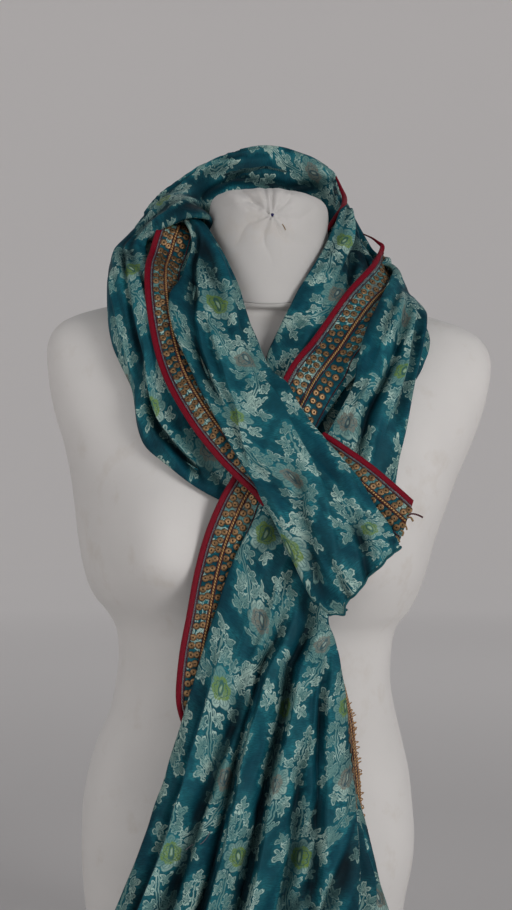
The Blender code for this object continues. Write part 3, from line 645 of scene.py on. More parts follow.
def tree_of(grid):
    rows, columns = grid.shape[:2]
    return BVHTree.FromPolygons([tuple(p) for p in grid.reshape(-1, 3)],
                                grid_faces(rows, columns).tolist())


def normals_of(grid):
    """Unit normals of a grid of points, away from the dress form."""
    return unit(np.cross(np.gradient(grid, axis=0), np.gradient(grid, axis=1)))


class Laid:
    """One sheet: its bed, its pushes and its finished grid of points."""

    def __init__(self, name, step):
        table, first, last, self.count = SHEETS[name][:4]
        self.name, self.rows, self.on_strip = name, row_points(table), table is STRIP
        ends = row_number(first), row_number(last)
        self.places, self.length = even_places(self.rows, *ends, step)
        self.coarse_places, _ = even_places(self.rows, *ends, PUSH_STEP)
        self.pressed = 0.0

    def rolls(self, places):
        """The radius of the curl at the neck-side and the far edge."""
        if not self.on_strip:
            return np.full(len(places), PLEAT_ROLL), np.full(len(places), PLEAT_ROLL)
        stops = [row_number(row[0]) for row in ROLLS]
        return [np.interp(places, stops, [row[side] * MM for row in ROLLS]) for side in (1, 2)]

    def bed(self, places, across):
        face, up, sideways = strip_surface(self.rows, places, across)
        near, far = self.rolls(places)
        face_height = 2 * (near[:, None] + (far - near)[:, None] * np.clip(across, 0, 1))
        return face - up * face_height[..., None], up, sideways

    def lay(self, form_tree, cloth_trees, first=None, last=None):
        """Works out the pushes, for all of the sheet or between two of its rows."""
        across = np.tile(np.linspace(0.0, 1.0, PUSH_COLUMNS), (len(self.coarse_places), 1))
        bed, up, _ = self.bed(self.coarse_places, across)
        push = np.zeros(bed.shape[:2])
        rows = np.ones(len(bed), bool)
        if first is not None:
            rows = ((self.coarse_places >= row_number(first))
                    & (self.coarse_places <= row_number(last)))
        push[rows] = pushes(bed[rows], up[rows], form_tree, cloth_trees)
        self.pressed = np.maximum(push, self.pressed)
        self.push = eased(largest_near(self.pressed, 1), PUSH_PASSES)
        return self

    def finish(self, wrinkle, seed):
        """The finished grid of points, with its folds, pleats and wrinkles."""
        places = self.places
        near, far = self.rolls(places)
        widths = strip_widths(self.rows, places)
        sections = [profile(*row, self.count) for row in zip(widths, near, far)]
        distance = np.array([row[0] for row in sections])
        height = np.array([row[1] for row in sections])
        across = distance / widths[:, None]
        bed, up, sideways = self.bed(places, across)
        smooth = blurred(blurred(self.push))
        rows = np.interp(places, self.coarse_places, np.linspace(0, 1, len(smooth)))
        push = resized(smooth, np.broadcast_to(rows[:, None], across.shape), across)
        run = np.linspace(0, self.length, len(places))[:, None] + 0 * across
        self.distance, self.run = distance, run
        edge = LAP_POINTS + ROLL_POINTS
        from_edge = np.minimum(distance, widths[:, None] - distance)
        loose = np.clip((from_edge - 3 * MM) / (9 * MM), 0, 1)
        held = np.clip(from_edge / (3 * MM), 0, 1)
        for side in (slice(None, edge), slice(-edge, None)):
            loose[:, side] = 0
            held[:, side] = 0
        folds = fold_heights(self.name, places, across, widths, len(self.rows) - 1)
        drift = 0.012 * noise(run / 0.09, 0 * run, seed + 5)
        pleat = 1 - 2 * np.abs(noise((distance + drift) / 0.019, run / 0.16, seed + 6))
        pleat = pleat + 0.5 * (1 - 2 * np.abs(noise((distance - drift) / 0.011,
                                                    run / 0.11, seed + 7)))
        small = (noise(distance / 0.013, run / 0.085, seed)
                 + 0.6 * noise(distance / 0.022, run / 0.034, seed + 1)
                 + 0.3 * noise(distance / 0.008, run / 0.026, seed + 2))
        sway = 1.3 * MM * (noise(0 * run, run / 0.045, seed + 3)
                           + 0.5 * noise(0 * run, run / 0.018, seed + 4))
        ripple = (small + pleat * PLEAT_SHARE) * loose * wrinkle
        lift = push + height + folds * held + ripple
        # painted shade by row, from the table of painted shade along each sheet
        row_shade = np.interp(places, *zip(*PAINTED_ROW_SHADE[self.name]))[:, None]
        # painted shade, deepest in the troughs of the folds, and a painted highlight on their
        # ridges
        self.hollow = np.clip(row_shade - (folds * held + 2.0 * ripple) / FULL_SHADE_DEPTH, -1, 1)
        self.grid = bed + up * lift[..., None] + sideways * sway[..., None]
        self.shape_end(across, 0 if self.name == "cross" else -1, seed)
        return self.grid

    def shape_end(self, across, end, seed):
        """Makes a short end uneven, with any corner that hangs below it."""
        if self.name in ("collar", "wrap"):
            return
        to_end = np.abs(self.run - self.run[end])
        wave = HEM_WAVE * noise(self.distance[end] / 0.017, 0 * self.distance[end], seed + 8)
        if self.name in END_FLAPS:
            place, width, reach = END_FLAPS[self.name]
            wave = wave + reach * np.exp(-((across[end] - place) / width) ** 2)
        outward = unit(self.grid[end] - self.grid[3 if end == 0 else -4])
        near = np.clip(1 - to_end / (16 * MM), 0, 1) ** 2
        self.grid = self.grid + near[..., None] * (wave[:, None] * outward)[None]


def ply_grid(rows, count_along, side, margin_width):
    """The middle surface of a single ply, slightly crowned, on the strip of the same name."""
    rows = np.array(rows, float)
    sections = np.stack([rows[:, 0], rows.mean(axis=1), rows[:, 1]], axis=1)
    sections = through(sections, np.linspace(0, len(rows) - 1, count_along)) * MM
    sections[:, 1, 1] -= PLY_CROWN
    widths = np.linalg.norm(sections[:, 2] - sections[:, 0], axis=1)
    margin = margin_width / widths[:, None]
    across = np.linspace(0, 1, PLY_COLUMNS)[None, :] * (1 - margin)
    return on_section(sections, across + margin if side == 0 else across)


def edge_lines(grid, side):
    """The ply's columns from its cut edge inwards, and the distance of each from it."""
    columns = grid if side == 0 else grid[:, ::-1]
    steps = np.linalg.norm(np.diff(columns, axis=1), axis=2)
    return columns, np.concatenate([np.zeros((len(grid), 1)), np.cumsum(steps, axis=1)], axis=1)


def line_on(grid, side, place, lift):
    """A line on a ply at one distance from its cut edge, and its sideways and outward
    directions. A place past the ply's other side stays on it; one below 0 is off the edge."""
    columns, run = edge_lines(grid, side)
    normals = normals_of(grid) if side == 0 else normals_of(grid)[:, ::-1]
    points, out = np.empty((len(grid), 3)), np.empty((len(grid), 3))
    for row in range(len(grid)):
        for k in range(3):
            points[row, k] = np.interp(place, run[row], columns[row, :, k])
            out[row, k] = np.interp(place, run[row], normals[row, :, k])
    inward = unit(columns[:, 1] - columns[:, 0])
    points += inward * min(0.0, place)
    out = unit(out)
    return points + out * lift, inward, out


def tube_mesh(points, across, out, half_width, half_height, sides=8):
    """A closed tube with an oval section along a line of points."""
    count = len(points)
    half_width = np.broadcast_to(half_width, (count,))[:, None]
    half_height = np.broadcast_to(half_height, (count,))[:, None]
    rings = []
    for step in range(sides):
        turn = 2 * math.pi * step / sides
        rings.append(points + across * half_width * math.cos(turn)
                     + out * half_height * math.sin(turn))
    grid = np.stack(rings, axis=1)
    vertices = list(map(tuple, grid.reshape(-1, 3)))
    faces = []
    for i in range(count - 1):
        for j in range(sides):
            a, b = i * sides + j, i * sides + (j + 1) % sides
            faces.append((a, a + sides, b + sides, b))
    faces.append(tuple(range(sides)))
    faces.append(tuple(reversed(range((count - 1) * sides, count * sides))))
    return vertices, faces


# ---------------------------------------------------------------- finishes

def linear(red, green, blue):
    """A colour chosen on the usual 0 to 255 scale, as the shaders read it."""
    return tuple((c / 255 / 12.92) if c <= 10 else ((c / 255 + 0.055) / 1.055) ** 2.4
                 for c in (red, green, blue))


class Number:
    """A number that varies over a surface, so that shader maths reads as an expression."""

    def __init__(self, board, socket):
        self.board, self.socket = board, socket

    def _maths(self, operation, *others):
        return self.board.maths(operation, self, *others)

    def __add__(self, other):
        return self._maths("ADD", other)

    def __radd__(self, other):
        return self.board.maths("ADD", other, self)

    def __sub__(self, other):
        return self._maths("SUBTRACT", other)

    def __rsub__(self, other):
        return self.board.maths("SUBTRACT", other, self)

    def __mul__(self, other):
        return self._maths("MULTIPLY", other)

    def __rmul__(self, other):
        return self.board.maths("MULTIPLY", other, self)

    def __truediv__(self, other):
        return self._maths("DIVIDE", other)

    def __abs__(self):
        return self._maths("ABSOLUTE")


class Board:
    """One finish: its material, and the nodes that are added to it."""

    def __init__(self, name, roughness, metallic=0.0, sheen=0.0, specular=0.5):
        self.material = bpy.data.materials.new(name)
        self.material.use_nodes = True
        self.tree = self.material.node_tree
        self.shader = self.tree.nodes["Principled BSDF"]
        self.shader.inputs["Roughness"].default_value = roughness
        self.shader.inputs["Metallic"].default_value = metallic
        self.shader.inputs["Specular IOR Level"].default_value = specular
        if sheen:
            self.shader.inputs["Sheen Weight"].default_value = sheen
            self.shader.inputs["Sheen Roughness"].default_value = 0.45

    def node(self, kind, settings=None, inputs=None):
        """Adds a node: its settings first, then the values or links of its sockets."""
        made = self.tree.nodes.new(kind)
        for name, value in (settings or {}).items():
            if name == "stops":
                while len(made.color_ramp.elements) < len(value):
                    made.color_ramp.elements.new(1.0)
                for element, (place, colour) in zip(made.color_ramp.elements, value):
                    element.position, element.color = place, (*colour, 1.0)
            else:
                setattr(made, name, value)
        for name, value in (inputs or {}).items():
            self.feed(made.inputs[name], value)
        return made

    def feed(self, socket, value):
        if isinstance(value, Number):
            self.tree.links.new(value.socket, socket)
        elif isinstance(value, bpy.types.NodeSocket):
            self.tree.links.new(value, socket)
        elif socket.type == "RGBA":
            socket.default_value = (*value[:3], 1.0)
        else:
            socket.default_value = value

    def maths(self, operation, *values, clamp=False):
        made = self.node("ShaderNodeMath", {"operation": operation, "use_clamp": clamp},
                         dict(enumerate(values)))
        return Number(self, made.outputs[0])

    def mix(self, share, first, second, blend="MIX"):
        made = self.node("ShaderNodeMix", {"data_type": "RGBA", "blend_type": blend},
                         {0: share, 6: first, 7: second})
        return made.outputs[2]

    def within(self, value, limit, softness):
        """1 where a value is under its limit, 0 over it, with a soft step between."""
        return self.maths("MULTIPLY_ADD", limit - value, 1.0 / softness, 0.5, clamp=True)

    def either(self, first, second):
        return self.maths("MAXIMUM", first, second)

    def both(self, first, second):
        return self.maths("MULTIPLY", first, second)

    def sine(self, value):
        return self.maths("SINE", value)

    def cosine(self, value):
        return self.maths("COSINE", value)

    def uv(self):
        """The piece's own map, across and along the cloth, in millimetres."""
        place = self.node("ShaderNodeUVMap", {"uv_map": "cloth"}).outputs[0]
        parts = self.node("ShaderNodeSeparateXYZ", inputs={0: place})
        return (place, Number(self, parts.outputs[0]) * 1000.0,
                Number(self, parts.outputs[1]) * 1000.0)

    def at_object(self):
        return self.node("ShaderNodeTexCoord").outputs["Object"]

    def noise(self, place, scale, detail=2.0, roughness=0.5, stretch=None):
        if stretch is not None:
            place = self.node("ShaderNodeMapping", inputs={"Vector": place,
                                                           "Scale": stretch}).outputs[0]
        made = self.node("ShaderNodeTexNoise", inputs={
            "Vector": place, "Scale": scale, "Detail": detail, "Roughness": roughness})
        return Number(self, made.outputs[0]), made.outputs[1]

    def bump(self, height, distance, strength=1.0):
        made = self.node("ShaderNodeBump", inputs={
            "Strength": strength, "Distance": distance, "Height": height})
        self.tree.links.new(made.outputs[0], self.shader.inputs["Normal"])

    def colour(self, value):
        self.feed(self.shader.inputs["Base Color"], value)

    def rough(self, value):
        self.feed(self.shader.inputs["Roughness"], value)


# The small leafy sprig between the stems, from the flower: across, along, in millimetres
SPRIG_MIDDLE = (36.5, -30.0)


def brocade(sizes, colours):
    """Teal silk with woven flowers and leafy paired stems that zigzag from row to row."""
    board = Board("teal_brocade", 0.62, specular=0.14)
    place = board.uv()[0]
    width, rise = sizes.motif_width / MM, sizes.motif_rise / MM

    def warped(spot, quiver):
        """Place on the cloth in millimetres, as the uneven weave has moved it."""
        parts = board.node("ShaderNodeSeparateXYZ", inputs={0: spot})
        moved = [Number(board, parts.outputs[0]) * -1000.0,
                 Number(board, parts.outputs[1]) * 1000.0]
        for scale, reach in ((38.0, 11.0), (250.0, quiver)):
            drift = board.node("ShaderNodeSeparateXYZ",
                               inputs={0: board.noise(spot, scale, 1.0)[1]})
            for axis in (0, 1):
                moved[axis] = moved[axis] + (Number(board, drift.outputs[axis]) - 0.5) * reach
        return moved

    def cell(spot, middle_x, middle_y):
        """Place from the middle of the nearest flower, and whether its row is odd."""
        row = board.maths("FLOOR", (spot[1] - middle_y) / rise + 0.5)
        odd = board.maths("FLOORED_MODULO", row, 2.0)
        pair = board.maths("FLOOR", (row + 1.0) / 2.0)
        x = spot[0] - pair * (0.318 * width) - odd * (0.165 * width) - middle_x
        x = board.maths("WRAP", x, width / 2, -width / 2)
        return x + middle_x, spot[1] - row * rise, odd

    def leaf(x, y, middle_x, middle_y, size, turn):
        """How far inside a leaf of five lobes, in millimetres, and how near a vein."""
        x, y = x - middle_x, y - middle_y
        out = board.maths("SQRT", x * x + y * y)
        around = board.maths("ARCTAN2", y, x) - turn
        lobes = abs(board.cosine(around * 2.5)) * (0.58 * size) + 0.46 * size
        edge = lobes * (board.cosine(around) * 0.34 + 0.80)
        return edge - out, abs(board.sine(around * 2.5)) * out

    def grown(leaves):
        """The nearest of several leaves, and its veins."""
        inside, veins = leaves[0]
        for more, ribs in leaves[1:]:
            here = board.within(inside, more, 0.01)
            veins = board.maths("MULTIPLY_ADD", ribs - veins, here, veins)
            inside = board.either(inside, more)
        return inside, veins

    def off_stem(x, y, odd):
        """Distance to the side of the paired stems that lead to the flower below."""
        down = y + 11.5
        return x - (odd * 12.5 - 9.5) - (0.0053 - odd * 0.0221) * down * down

    lobes = board.node("ShaderNodeTexVoronoi", {"voronoi_dimensions": "2D"},
                       {"Vector": place, "Scale": 420.0, "Randomness": 1.0})
    lobe = Number(board, lobes.outputs["Distance"])
    spot = warped(place, 4.2)
    x, y, odd = cell(spot, 0.0, 8.0)
    wide = abs(x + 1.0)
    spray = [leaf(wide, y, *place_and_size) for place_and_size in (
        (0.0, 20.0, 7.8, 1.57), (9.0, 17.0, 6.6, 0.95), (17.0, 7.6, 8.0, 0.20),
        (25.0, 14.0, 7.4, 1.05), (25.0, 1.5, 7.2, -0.45), (12.0, -14.0, 7.0, -0.95))]
    sx, sy, sodd = cell(spot, -6.0, -36.0)
    off = off_stem(sx, sy, sodd)
    beat = board.maths("FRACT", (sy + board.maths("SIGN", off) * 3.4) / 13.0)
    spray.append(leaf(abs(off), (beat - 0.5) * 13.0, 5.6, 0.0, 7.0, 0.65))
    stem_window = board.within(abs(sy + 35.0), 23.0, 3.0)
    spray[-1] = (spray[-1][0] + (stem_window - 1.0) * 9.0, spray[-1][1])
    gx, gy, _ = cell(spot, *SPRIG_MIDDLE)
    gx, gy = abs(gx - SPRIG_MIDDLE[0]), gy - SPRIG_MIDDLE[1]
    spray += [leaf(gx, gy, 0.0, 9.0, 7.2, 1.57), leaf(gx, gy, 5.2, 0.5, 7.0, 0.45),
              leaf(gx, gy, 4.8, -8.5, 5.8, 0.35)]
    inside, veins = grown(spray)
    inside = inside - lobe * 1.1 + 0.45
    leaves = board.within(0.0, inside, 0.5)
    outline = board.within(abs(inside - 0.7), 0.5, 0.5)
    vein = board.both(board.within(veins, 0.42, 0.5), board.within(1.0, inside, 0.6))
    inner = board.within(abs(inside - 2.1), 0.42, 0.5)
    leaves = board.both(leaves, 1.0 - board.either(vein * 0.9, inner * 0.75))
    twig = board.within(abs(y - 1.6 - wide * 0.36), 0.7, 0.5)
    twig = board.both(twig, board.within(abs(wide - 19.0), 7.0, 1.0))
    stalk = board.both(board.within(gx, 0.8, 0.5), board.within(abs(gy + 6.0), 14.0, 1.0))
    leaves = board.either(leaves, board.either(twig, stalk))

    here = warped(place, 2.0)
    x, y, odd = cell(here, 0.0, 8.0)
    out = board.maths("SQRT", x * x + y * y)
    turn = board.maths("ARCTAN2", y, x)
    scallop = abs(board.sine(turn * 4.5 + 0.4))
    edge = 12.4 + scallop * 3.0
    petals = board.within(out, edge, 0.8)
    lines = board.within(abs(out - edge + 2.4), 0.3, 0.6)
    lines = board.either(lines, board.within(scallop, 0.14, 0.22))
    streak = board.within(0.55, board.sine(turn * 27.0 + out * 0.9), 0.5)
    lines = board.either(lines, board.both(streak, board.within(out, 12.6, 1.4)))
    petals = board.both(petals, 1.0 - lines * 0.62)
    heart_edge = 7.6 + abs(board.sine(turn * 3.0 + 0.7)) * 1.9
    heart = board.within(out, heart_edge, 0.8)
    slit = board.maths("SQRT", x * x * 0.6 + (y - 0.6) * (y - 0.6) * 0.09)
    pip = board.within(slit, 0.75, 0.4)
    pip_ring = board.within(abs(slit - 1.45), 0.42, 0.4)
    ring_line = board.within(abs(out - 5.2 - scallop), 0.3, 0.5)

    sx, sy, sodd = cell(here, -6.0, -36.0)
    aside = abs(off_stem(sx, sy, sodd))
    window = board.within(abs(sy + 35.0), 25.0, 3.0)
    stems = board.both(board.within(abs(aside - 1.3), 0.62, 0.5), window)
    pattern = board.either(board.either(leaves, stems), 0.0)
    clear = board.within(out, 15.6, 0.6)
    pattern = board.both(pattern, 1.0 - clear) + petals

    # hazy ground close round the motifs
    patch, _ = board.noise(place, 90.0, 3.0, 0.6)
    near = board.either(board.within(out, 26.0, 16.0),
                        board.both(board.within(aside, 13.0, 12.0), window))
    sprig_near = board.within(board.maths("SQRT", gx * gx + gy * gy), 17.0, 12.0)
    near = board.either(near, sprig_near)
    near = board.either(near, board.within(0.0, inside + 3.5, 3.5))
    haze = board.maths("MULTIPLY_ADD", near, patch * 1.6, patch * 0.7 - 0.30, clamp=True)
    ground = board.mix(haze, colours.teal_deep, colours.teal_hazy)
    cloud, _ = board.noise(place, 26.0, 3.0, 0.6)
    ground = board.mix(board.maths("MULTIPLY_ADD", cloud - 0.5, 3.0, 0.35, clamp=True), ground,
                       tuple(0.55 * c for c in colours.teal_deep))
    slub, _ = board.noise(place, 1.0, 3.0, 0.65, stretch=(210.0, 1300.0, 1.0))
    ground = board.mix(board.maths("MULTIPLY_ADD", slub - 0.5, 2.6, 0.35, clamp=True), ground,
                       tuple(0.5 * c for c in colours.teal_deep))

    thread, _ = board.noise(place, 1.0, 2.0, 0.6, stretch=(2200.0, 420.0, 1.0))
    # The motif is paler along its outlines, which is its woven pattern, and paler at random where
    # the next noise is high, which is a painted sheen; the same noise also varies how fully the
    # motif covers the ground.
    wear_and_sheen, _ = board.noise(place, 34.0, 2.0, 0.6)
    shine = board.maths("MULTIPLY_ADD", wear_and_sheen - 0.47, 5.0, outline * 0.7 - 0.05, clamp=True)
    silk = board.mix(shine, colours.motif, colours.motif_pale)
    cover = board.maths("MULTIPLY", pattern, thread * 0.7 + 0.42 + wear_and_sheen * 0.2, clamp=True)
    cloth = board.mix(cover, ground, silk)

    seeds, _ = board.noise(place, 520.0, 1.0)
    speckle = board.maths("MULTIPLY_ADD", seeds - 0.5, 3.5, 0.6, clamp=True)
    hearts = board.mix(odd, colours.heart_green, colours.heart_brown)
    cloth = board.mix(board.both(heart, speckle * 0.5 + 0.42), cloth, hearts)
    dark = board.both(board.either(pip_ring, ring_line), heart) * 0.75
    cloth = board.mix(dark, cloth, colours.teal_deep)
    cloth = board.mix(board.both(pip, heart) * 0.5, cloth, colours.motif_pale)

    # painted shade: the silk is darkened in the hollows of the folds and on the rows in shade, and
    # lightened on the ridges of the folds as a painted highlight
    hollow = board.node("ShaderNodeAttribute", {"attribute_name": "hollow"})
    hollow = Number(board, hollow.outputs["Fac"])
    cloth = board.mix(board.maths("MULTIPLY", hollow, 0.95, clamp=True), cloth,
                      (0.10, 0.17, 0.19), "MULTIPLY")
    cloth = board.mix(board.maths("MULTIPLY", hollow, -0.22, clamp=True), cloth,
                      (0.02, 0.10, 0.11), "ADD")
    board.colour(cloth)
    board.rough(0.66 - board.maths("MULTIPLY", cover, 0.16) + (thread - 0.5) * 0.12)
    weave = board.noise(place, 1.0, 1.0, 0.5, stretch=(1500.0, 1100.0, 1.0))[0]
    crush, _ = board.noise(place, 120.0, 2.0, 0.5, stretch=(1.0, 0.55, 1.0))
    board.bump(weave * 0.35 + crush * 1.8 + cover * 0.3, 0.0006, 0.6)
    return board.material


def piping_silk(colours):
    """Crimson satin piping, crosswise thread and slight puckers along it."""
    board = Board("crimson_piping", 0.6, specular=0.16)
    place = board.uv()[0]
    pucker, _ = board.noise(place, 1.0, 2.0, 0.5, stretch=(60.0, 330.0, 1.0))
    thread, _ = board.noise(place, 1.0, 1.0, 0.5, stretch=(900.0, 2400.0, 1.0))
    shade = board.mix(board.maths("MULTIPLY_ADD", pucker - 0.5, 2.6, 0.45, clamp=True),
                      tuple(0.5 * c for c in colours.crimson), colours.crimson)
    board.colour(board.mix(thread * 0.28, shade, tuple(0.35 * c for c in colours.crimson)))
    board.rough(0.5 + (thread - 0.5) * 0.2)
    board.bump(pucker + thread * 0.25, 0.0007, 0.6)
    return board.material


def twisted_cord(name, light, dark, metallic, turns):
    """Cord of two twisted strands; its map runs once round and along in millimetres."""
    board = Board(name, 0.42, metallic=metallic, specular=0.5)
    _, across, along = board.uv()
    strand = board.sine(along * turns + across * 0.0062832 * 2.0)
    grain, _ = board.noise(board.at_object(), 900.0, 2.0)
    level = board.maths("MULTIPLY_ADD", strand, 0.42, grain * 0.5 + 0.28, clamp=True)
    board.colour(board.mix(level, dark, light))
    board.rough(0.5 - strand * 0.1)
    board.bump(strand, 0.0004, 0.7)
    return board.material


def sequin_metal(colours):
    """Tarnished gold sequins: dark hole and rim, a lighter ring between them."""
    board = Board("antique_sequins", 0.38, metallic=0.7, specular=0.5)
    spot = board.at_object()
    _, reach, _ = board.uv()
    tarnish, _ = board.noise(spot, 420.0, 2.0, 0.6)
    tone, _ = board.noise(spot, 70.0, 1.0)
    ring = board.within(abs(reach - 0.42), 0.16, 0.16)
    level = board.maths("MULTIPLY_ADD", tarnish - 0.5, 2.2, tone * 0.5 + ring * 0.35, clamp=True)
    metal = board.mix(level, tuple(0.30 * c for c in colours.sequin), colours.sequin)
    dark = board.either(board.within(reach, 0.25, 0.06), board.within(0.93, reach, 0.06))
    board.colour(board.mix(dark, metal, tuple(0.07 * c for c in colours.sequin)))
    board.rough(0.34 + tarnish * 0.22)
    board.bump(tarnish, 0.0002, 0.4)
    return board.material


def thread_cotton(name, colour, dark):
    board = Board(name, 0.8, specular=0.25)
    grain, _ = board.noise(board.at_object(), 1400.0, 2.0, 0.6)
    board.colour(board.mix(board.maths("MULTIPLY_ADD", grain - 0.5, 2.5, 0.4, clamp=True),
                           colour, dark))
    board.rough(0.75 + grain * 0.15)
    board.bump(grain, 0.0002, 0.5)
    return board.material


def form_cover(name, white):
    """White cotton jersey, a little marked, with its fine ribs."""
    board = Board(name, 0.85, sheen=0.15, specular=0.25)
    spot = board.at_object()
    cloud, _ = board.noise(spot, 9.0, 3.0, 0.55)
    mark, _ = board.noise(spot, 28.0, 4.0, 0.65)
    knit, _ = board.noise(spot, 1.0, 1.0, 0.5, stretch=(1500.0, 1500.0, 900.0))
    warm = board.maths("MULTIPLY_ADD", mark - 0.56, 5.0, 0.0, clamp=True)
    shade = board.mix(board.maths("MULTIPLY_ADD", cloud - 0.5, 1.6, 0.5, clamp=True),
                      white, tuple(0.86 * c for c in white))
    shade = board.mix(warm * 0.30, shade, linear(186, 174, 158))
    board.colour(board.mix(knit * 0.10, shade, tuple(0.7 * c for c in white)))
    board.rough(0.82 + knit * 0.1)
    board.bump(knit * 0.3 + mark * 0.5, 0.0005, 0.35)
    return board.material


def pale_ground(colours):
    """Paper-like floor; far from the middle it gives a little light, so it looks even."""
    board = Board("pale_ground", 0.9, specular=0.1)
    spot = board.at_object()
    tone, _ = board.noise(spot, 0.8, 2.0)
    board.colour(board.mix(tone * 0.5, colours.floor, tuple(0.94 * c for c in colours.floor)))
    away = board.node("ShaderNodeVectorMath", {"operation": "LENGTH"}, {0: spot})
    far = board.maths("MULTIPLY_ADD", Number(board, away.outputs["Value"]), 0.28, -0.28, clamp=True)
    glow = board.mix(far, (0.0, 0.0, 0.0), tuple(0.24 * c for c in colours.floor))
    board.feed(board.shader.inputs["Emission Color"], glow)
    board.shader.inputs["Emission Strength"].default_value = 1.0
    return board.material


# ---------------------------------------------------------------- pieces

def add_piece(name, vertices, faces, look, slot_name, uv=None):
    """Adds a smooth-shaded piece at the origin that rides on the form."""
    mesh = bpy.data.meshes.new(name)
    mesh.from_pydata([tuple(p) for p in vertices], [], faces)
    mesh.polygons.foreach_set("use_smooth", [True] * len(mesh.polygons))
    if uv is not None:
        corners = np.empty(len(mesh.loops), np.int32)
        mesh.loops.foreach_get("vertex_index", corners)
        layer = mesh.uv_layers.new(name="cloth")
        layer.data.foreach_set("uv", np.asarray(uv, np.float32)[corners].ravel())
    mesh.materials.append(look)
    made = bpy.data.objects.new(name, mesh)
    bpy.context.scene.collection.objects.link(made)
    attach(made, BODY)
    return made


def add_grid(name, grid, uv, look, slot_name, hollow=None):
    rows, columns = grid.shape[:2]
    made = add_piece(name, grid.reshape(-1, 3), grid_faces(rows, columns).tolist(), look,
                     slot_name, uv.reshape(-1, 2))
    # the painted shade of each point, which darkens or lightens the brocade's colour
    if hollow is not None:
        layer = made.data.attributes.new("hollow", "FLOAT", "POINT")
        layer.data.foreach_set("value", hollow.astype(np.float32).ravel())
    return made


def weave_map(grid, run, anchor, upward, start_u, start_v):
    """Places on the flat cloth: distance across from an anchor column, and along."""
    steps = np.linalg.norm(np.diff(grid, axis=1), axis=2)
    across = np.concatenate([np.zeros((len(grid), 1)), np.cumsum(steps, axis=1)], axis=1)
    column = int(round(anchor * (grid.shape[1] - 1)))
    across = across - across[:, column:column + 1]
    return np.stack([upward * across + start_u, upward * run + start_v], axis=2)


class Bench:
    """What one operator leaves for the next."""
    looks = {}
    form_tree = None
    sheets = {}
    grids = {}
    trees = {}
    objects = {}


def looks():
    if not Bench.looks:
        sizes, colours = bpy.context.scene.stole_sizes, bpy.context.scene.stole_colours
        Bench.looks = {
            "brocade": brocade(sizes, colours),
            "crimson": piping_silk(colours),
            "gold": twisted_cord("gold_cord", colours.cord, linear(92, 58, 30), 0.45, 2.6),
            "maroon": twisted_cord("maroon_cord", colours.maroon,
                                   tuple(0.4 * c for c in colours.maroon), 0.0, 3.2),
            "pale": thread_cotton("pale_thread", linear(120, 118, 124), linear(60, 56, 66)),
            "sequin": sequin_metal(colours),
            "cover": form_cover("white_cover", colours.cover),
            # the cap's cover is the jersey's white darkened by NECK_SHADE, a painted shade
            "neck": form_cover("shaded_neck_cover", tuple(NECK_SHADE * c for c in colours.cover)),
            "dot": thread_cotton("blue_thread", linear(34, 34, 92), linear(20, 20, 60)),
            "hem": thread_cotton("turned_silk", linear(30, 92, 98), linear(6, 52, 60)),
            "fray": thread_cotton("frayed_silk", linear(150, 122, 84), linear(96, 74, 48)),
        }
    return Bench.looks


# Dress form

def form_ring(row):
    """One closed section: a superellipse, flatter in front or behind as its depths say."""
    height, middle, half_width, front, back, tilt, roll = row
    turn = 2 * np.pi * np.arange(FORM_POINTS) / FORM_POINTS
    cosine, sine = np.cos(turn), np.sin(turn)
    x = np.sign(cosine) * np.abs(cosine) ** (2 / FORM_POWER) * half_width
    y = np.sign(sine) * np.abs(sine) ** (2 / FORM_POWER) * np.where(sine > 0, back, -front)
    z = height + tilt * (y - NECK_CENTRE[1]) - roll * SHOULDER_ROLL * x
    for side, bust_height, reach, wide, above, below in BUST:
        tall = np.where(z > bust_height, above, below)
        near = ((middle + x - NECK_CENTRE[0] * 0.6 - side) / wide) ** 2
        near = near + ((z - bust_height) / tall) ** 2
        y = np.where(y < 0, y - reach * np.exp(-near) * np.minimum(1.0, -y / 60), y)
    return np.stack([middle + x, y, z], axis=1)


def closed_stack(rings):
    """Closes a stack of rings, lowest first, with flat ends."""
    count = len(rings[0])
    faces = [tuple(face[::-1]) for face in grid_faces(len(rings), count, closed=True).tolist()]
    faces.append(tuple(reversed(range(count))))
    last = (len(rings) - 1) * count
    faces.append(tuple(range(last, last + count)))
    return np.concatenate(rings) * MM, faces


def eased_rows(table, count):
    """More rows between those of a table, closer together where the rows are."""
    table = np.array(table, float)
    return through(table, np.linspace(0, len(table) - 1, count))


def neck_points():
    rings = []
    turn = 2 * np.pi * np.arange(NECK_POINTS) / NECK_POINTS
    in_front = np.clip(-2.0 * np.sin(turn), 0, 1)
    for height, radius, tilt in eased_rows(NECK_SECTIONS, 130):
        x, y = radius * np.cos(turn), radius * np.sin(turn)
        cap = np.clip((height - 700) / 22, 0, 1)
        z = height + tilt * y - CAP_SLOPE * cap * np.maximum(x - 8, 0)
        spot = np.stack([NECK_CENTRE[0] + x, NECK_CENTRE[1] + y, z], axis=1)
        away = spot - np.array(PUCKER_CENTRE)
        far = np.linalg.norm(away, axis=1)
        angle = np.arctan2(away[:, 2], away[:, 0])
        fade = np.exp(-(far / 30) ** 2) * np.clip(far / 6, 0, 1)
        crease = np.abs(np.sin(3.5 * angle + 0.8 * np.sin(far / 9))) ** 0.5 - 0.6
        top = np.clip((height - 712) / 10, 0, 1) * np.clip(radius / 30, 0, 1)
        rim = noise(9 + 5 * np.cos(turn), 9 + 5 * np.sin(turn) + height / 7, 41) * 0.9 * top
        outward = np.stack([np.cos(turn), np.sin(turn), np.full(NECK_POINTS, 0.35)], axis=1)
        rings.append(spot + outward * (PUCKER_DEPTH * fade * crease + rim
                                       + in_front * gathers(spot))[:, None])
    return rings


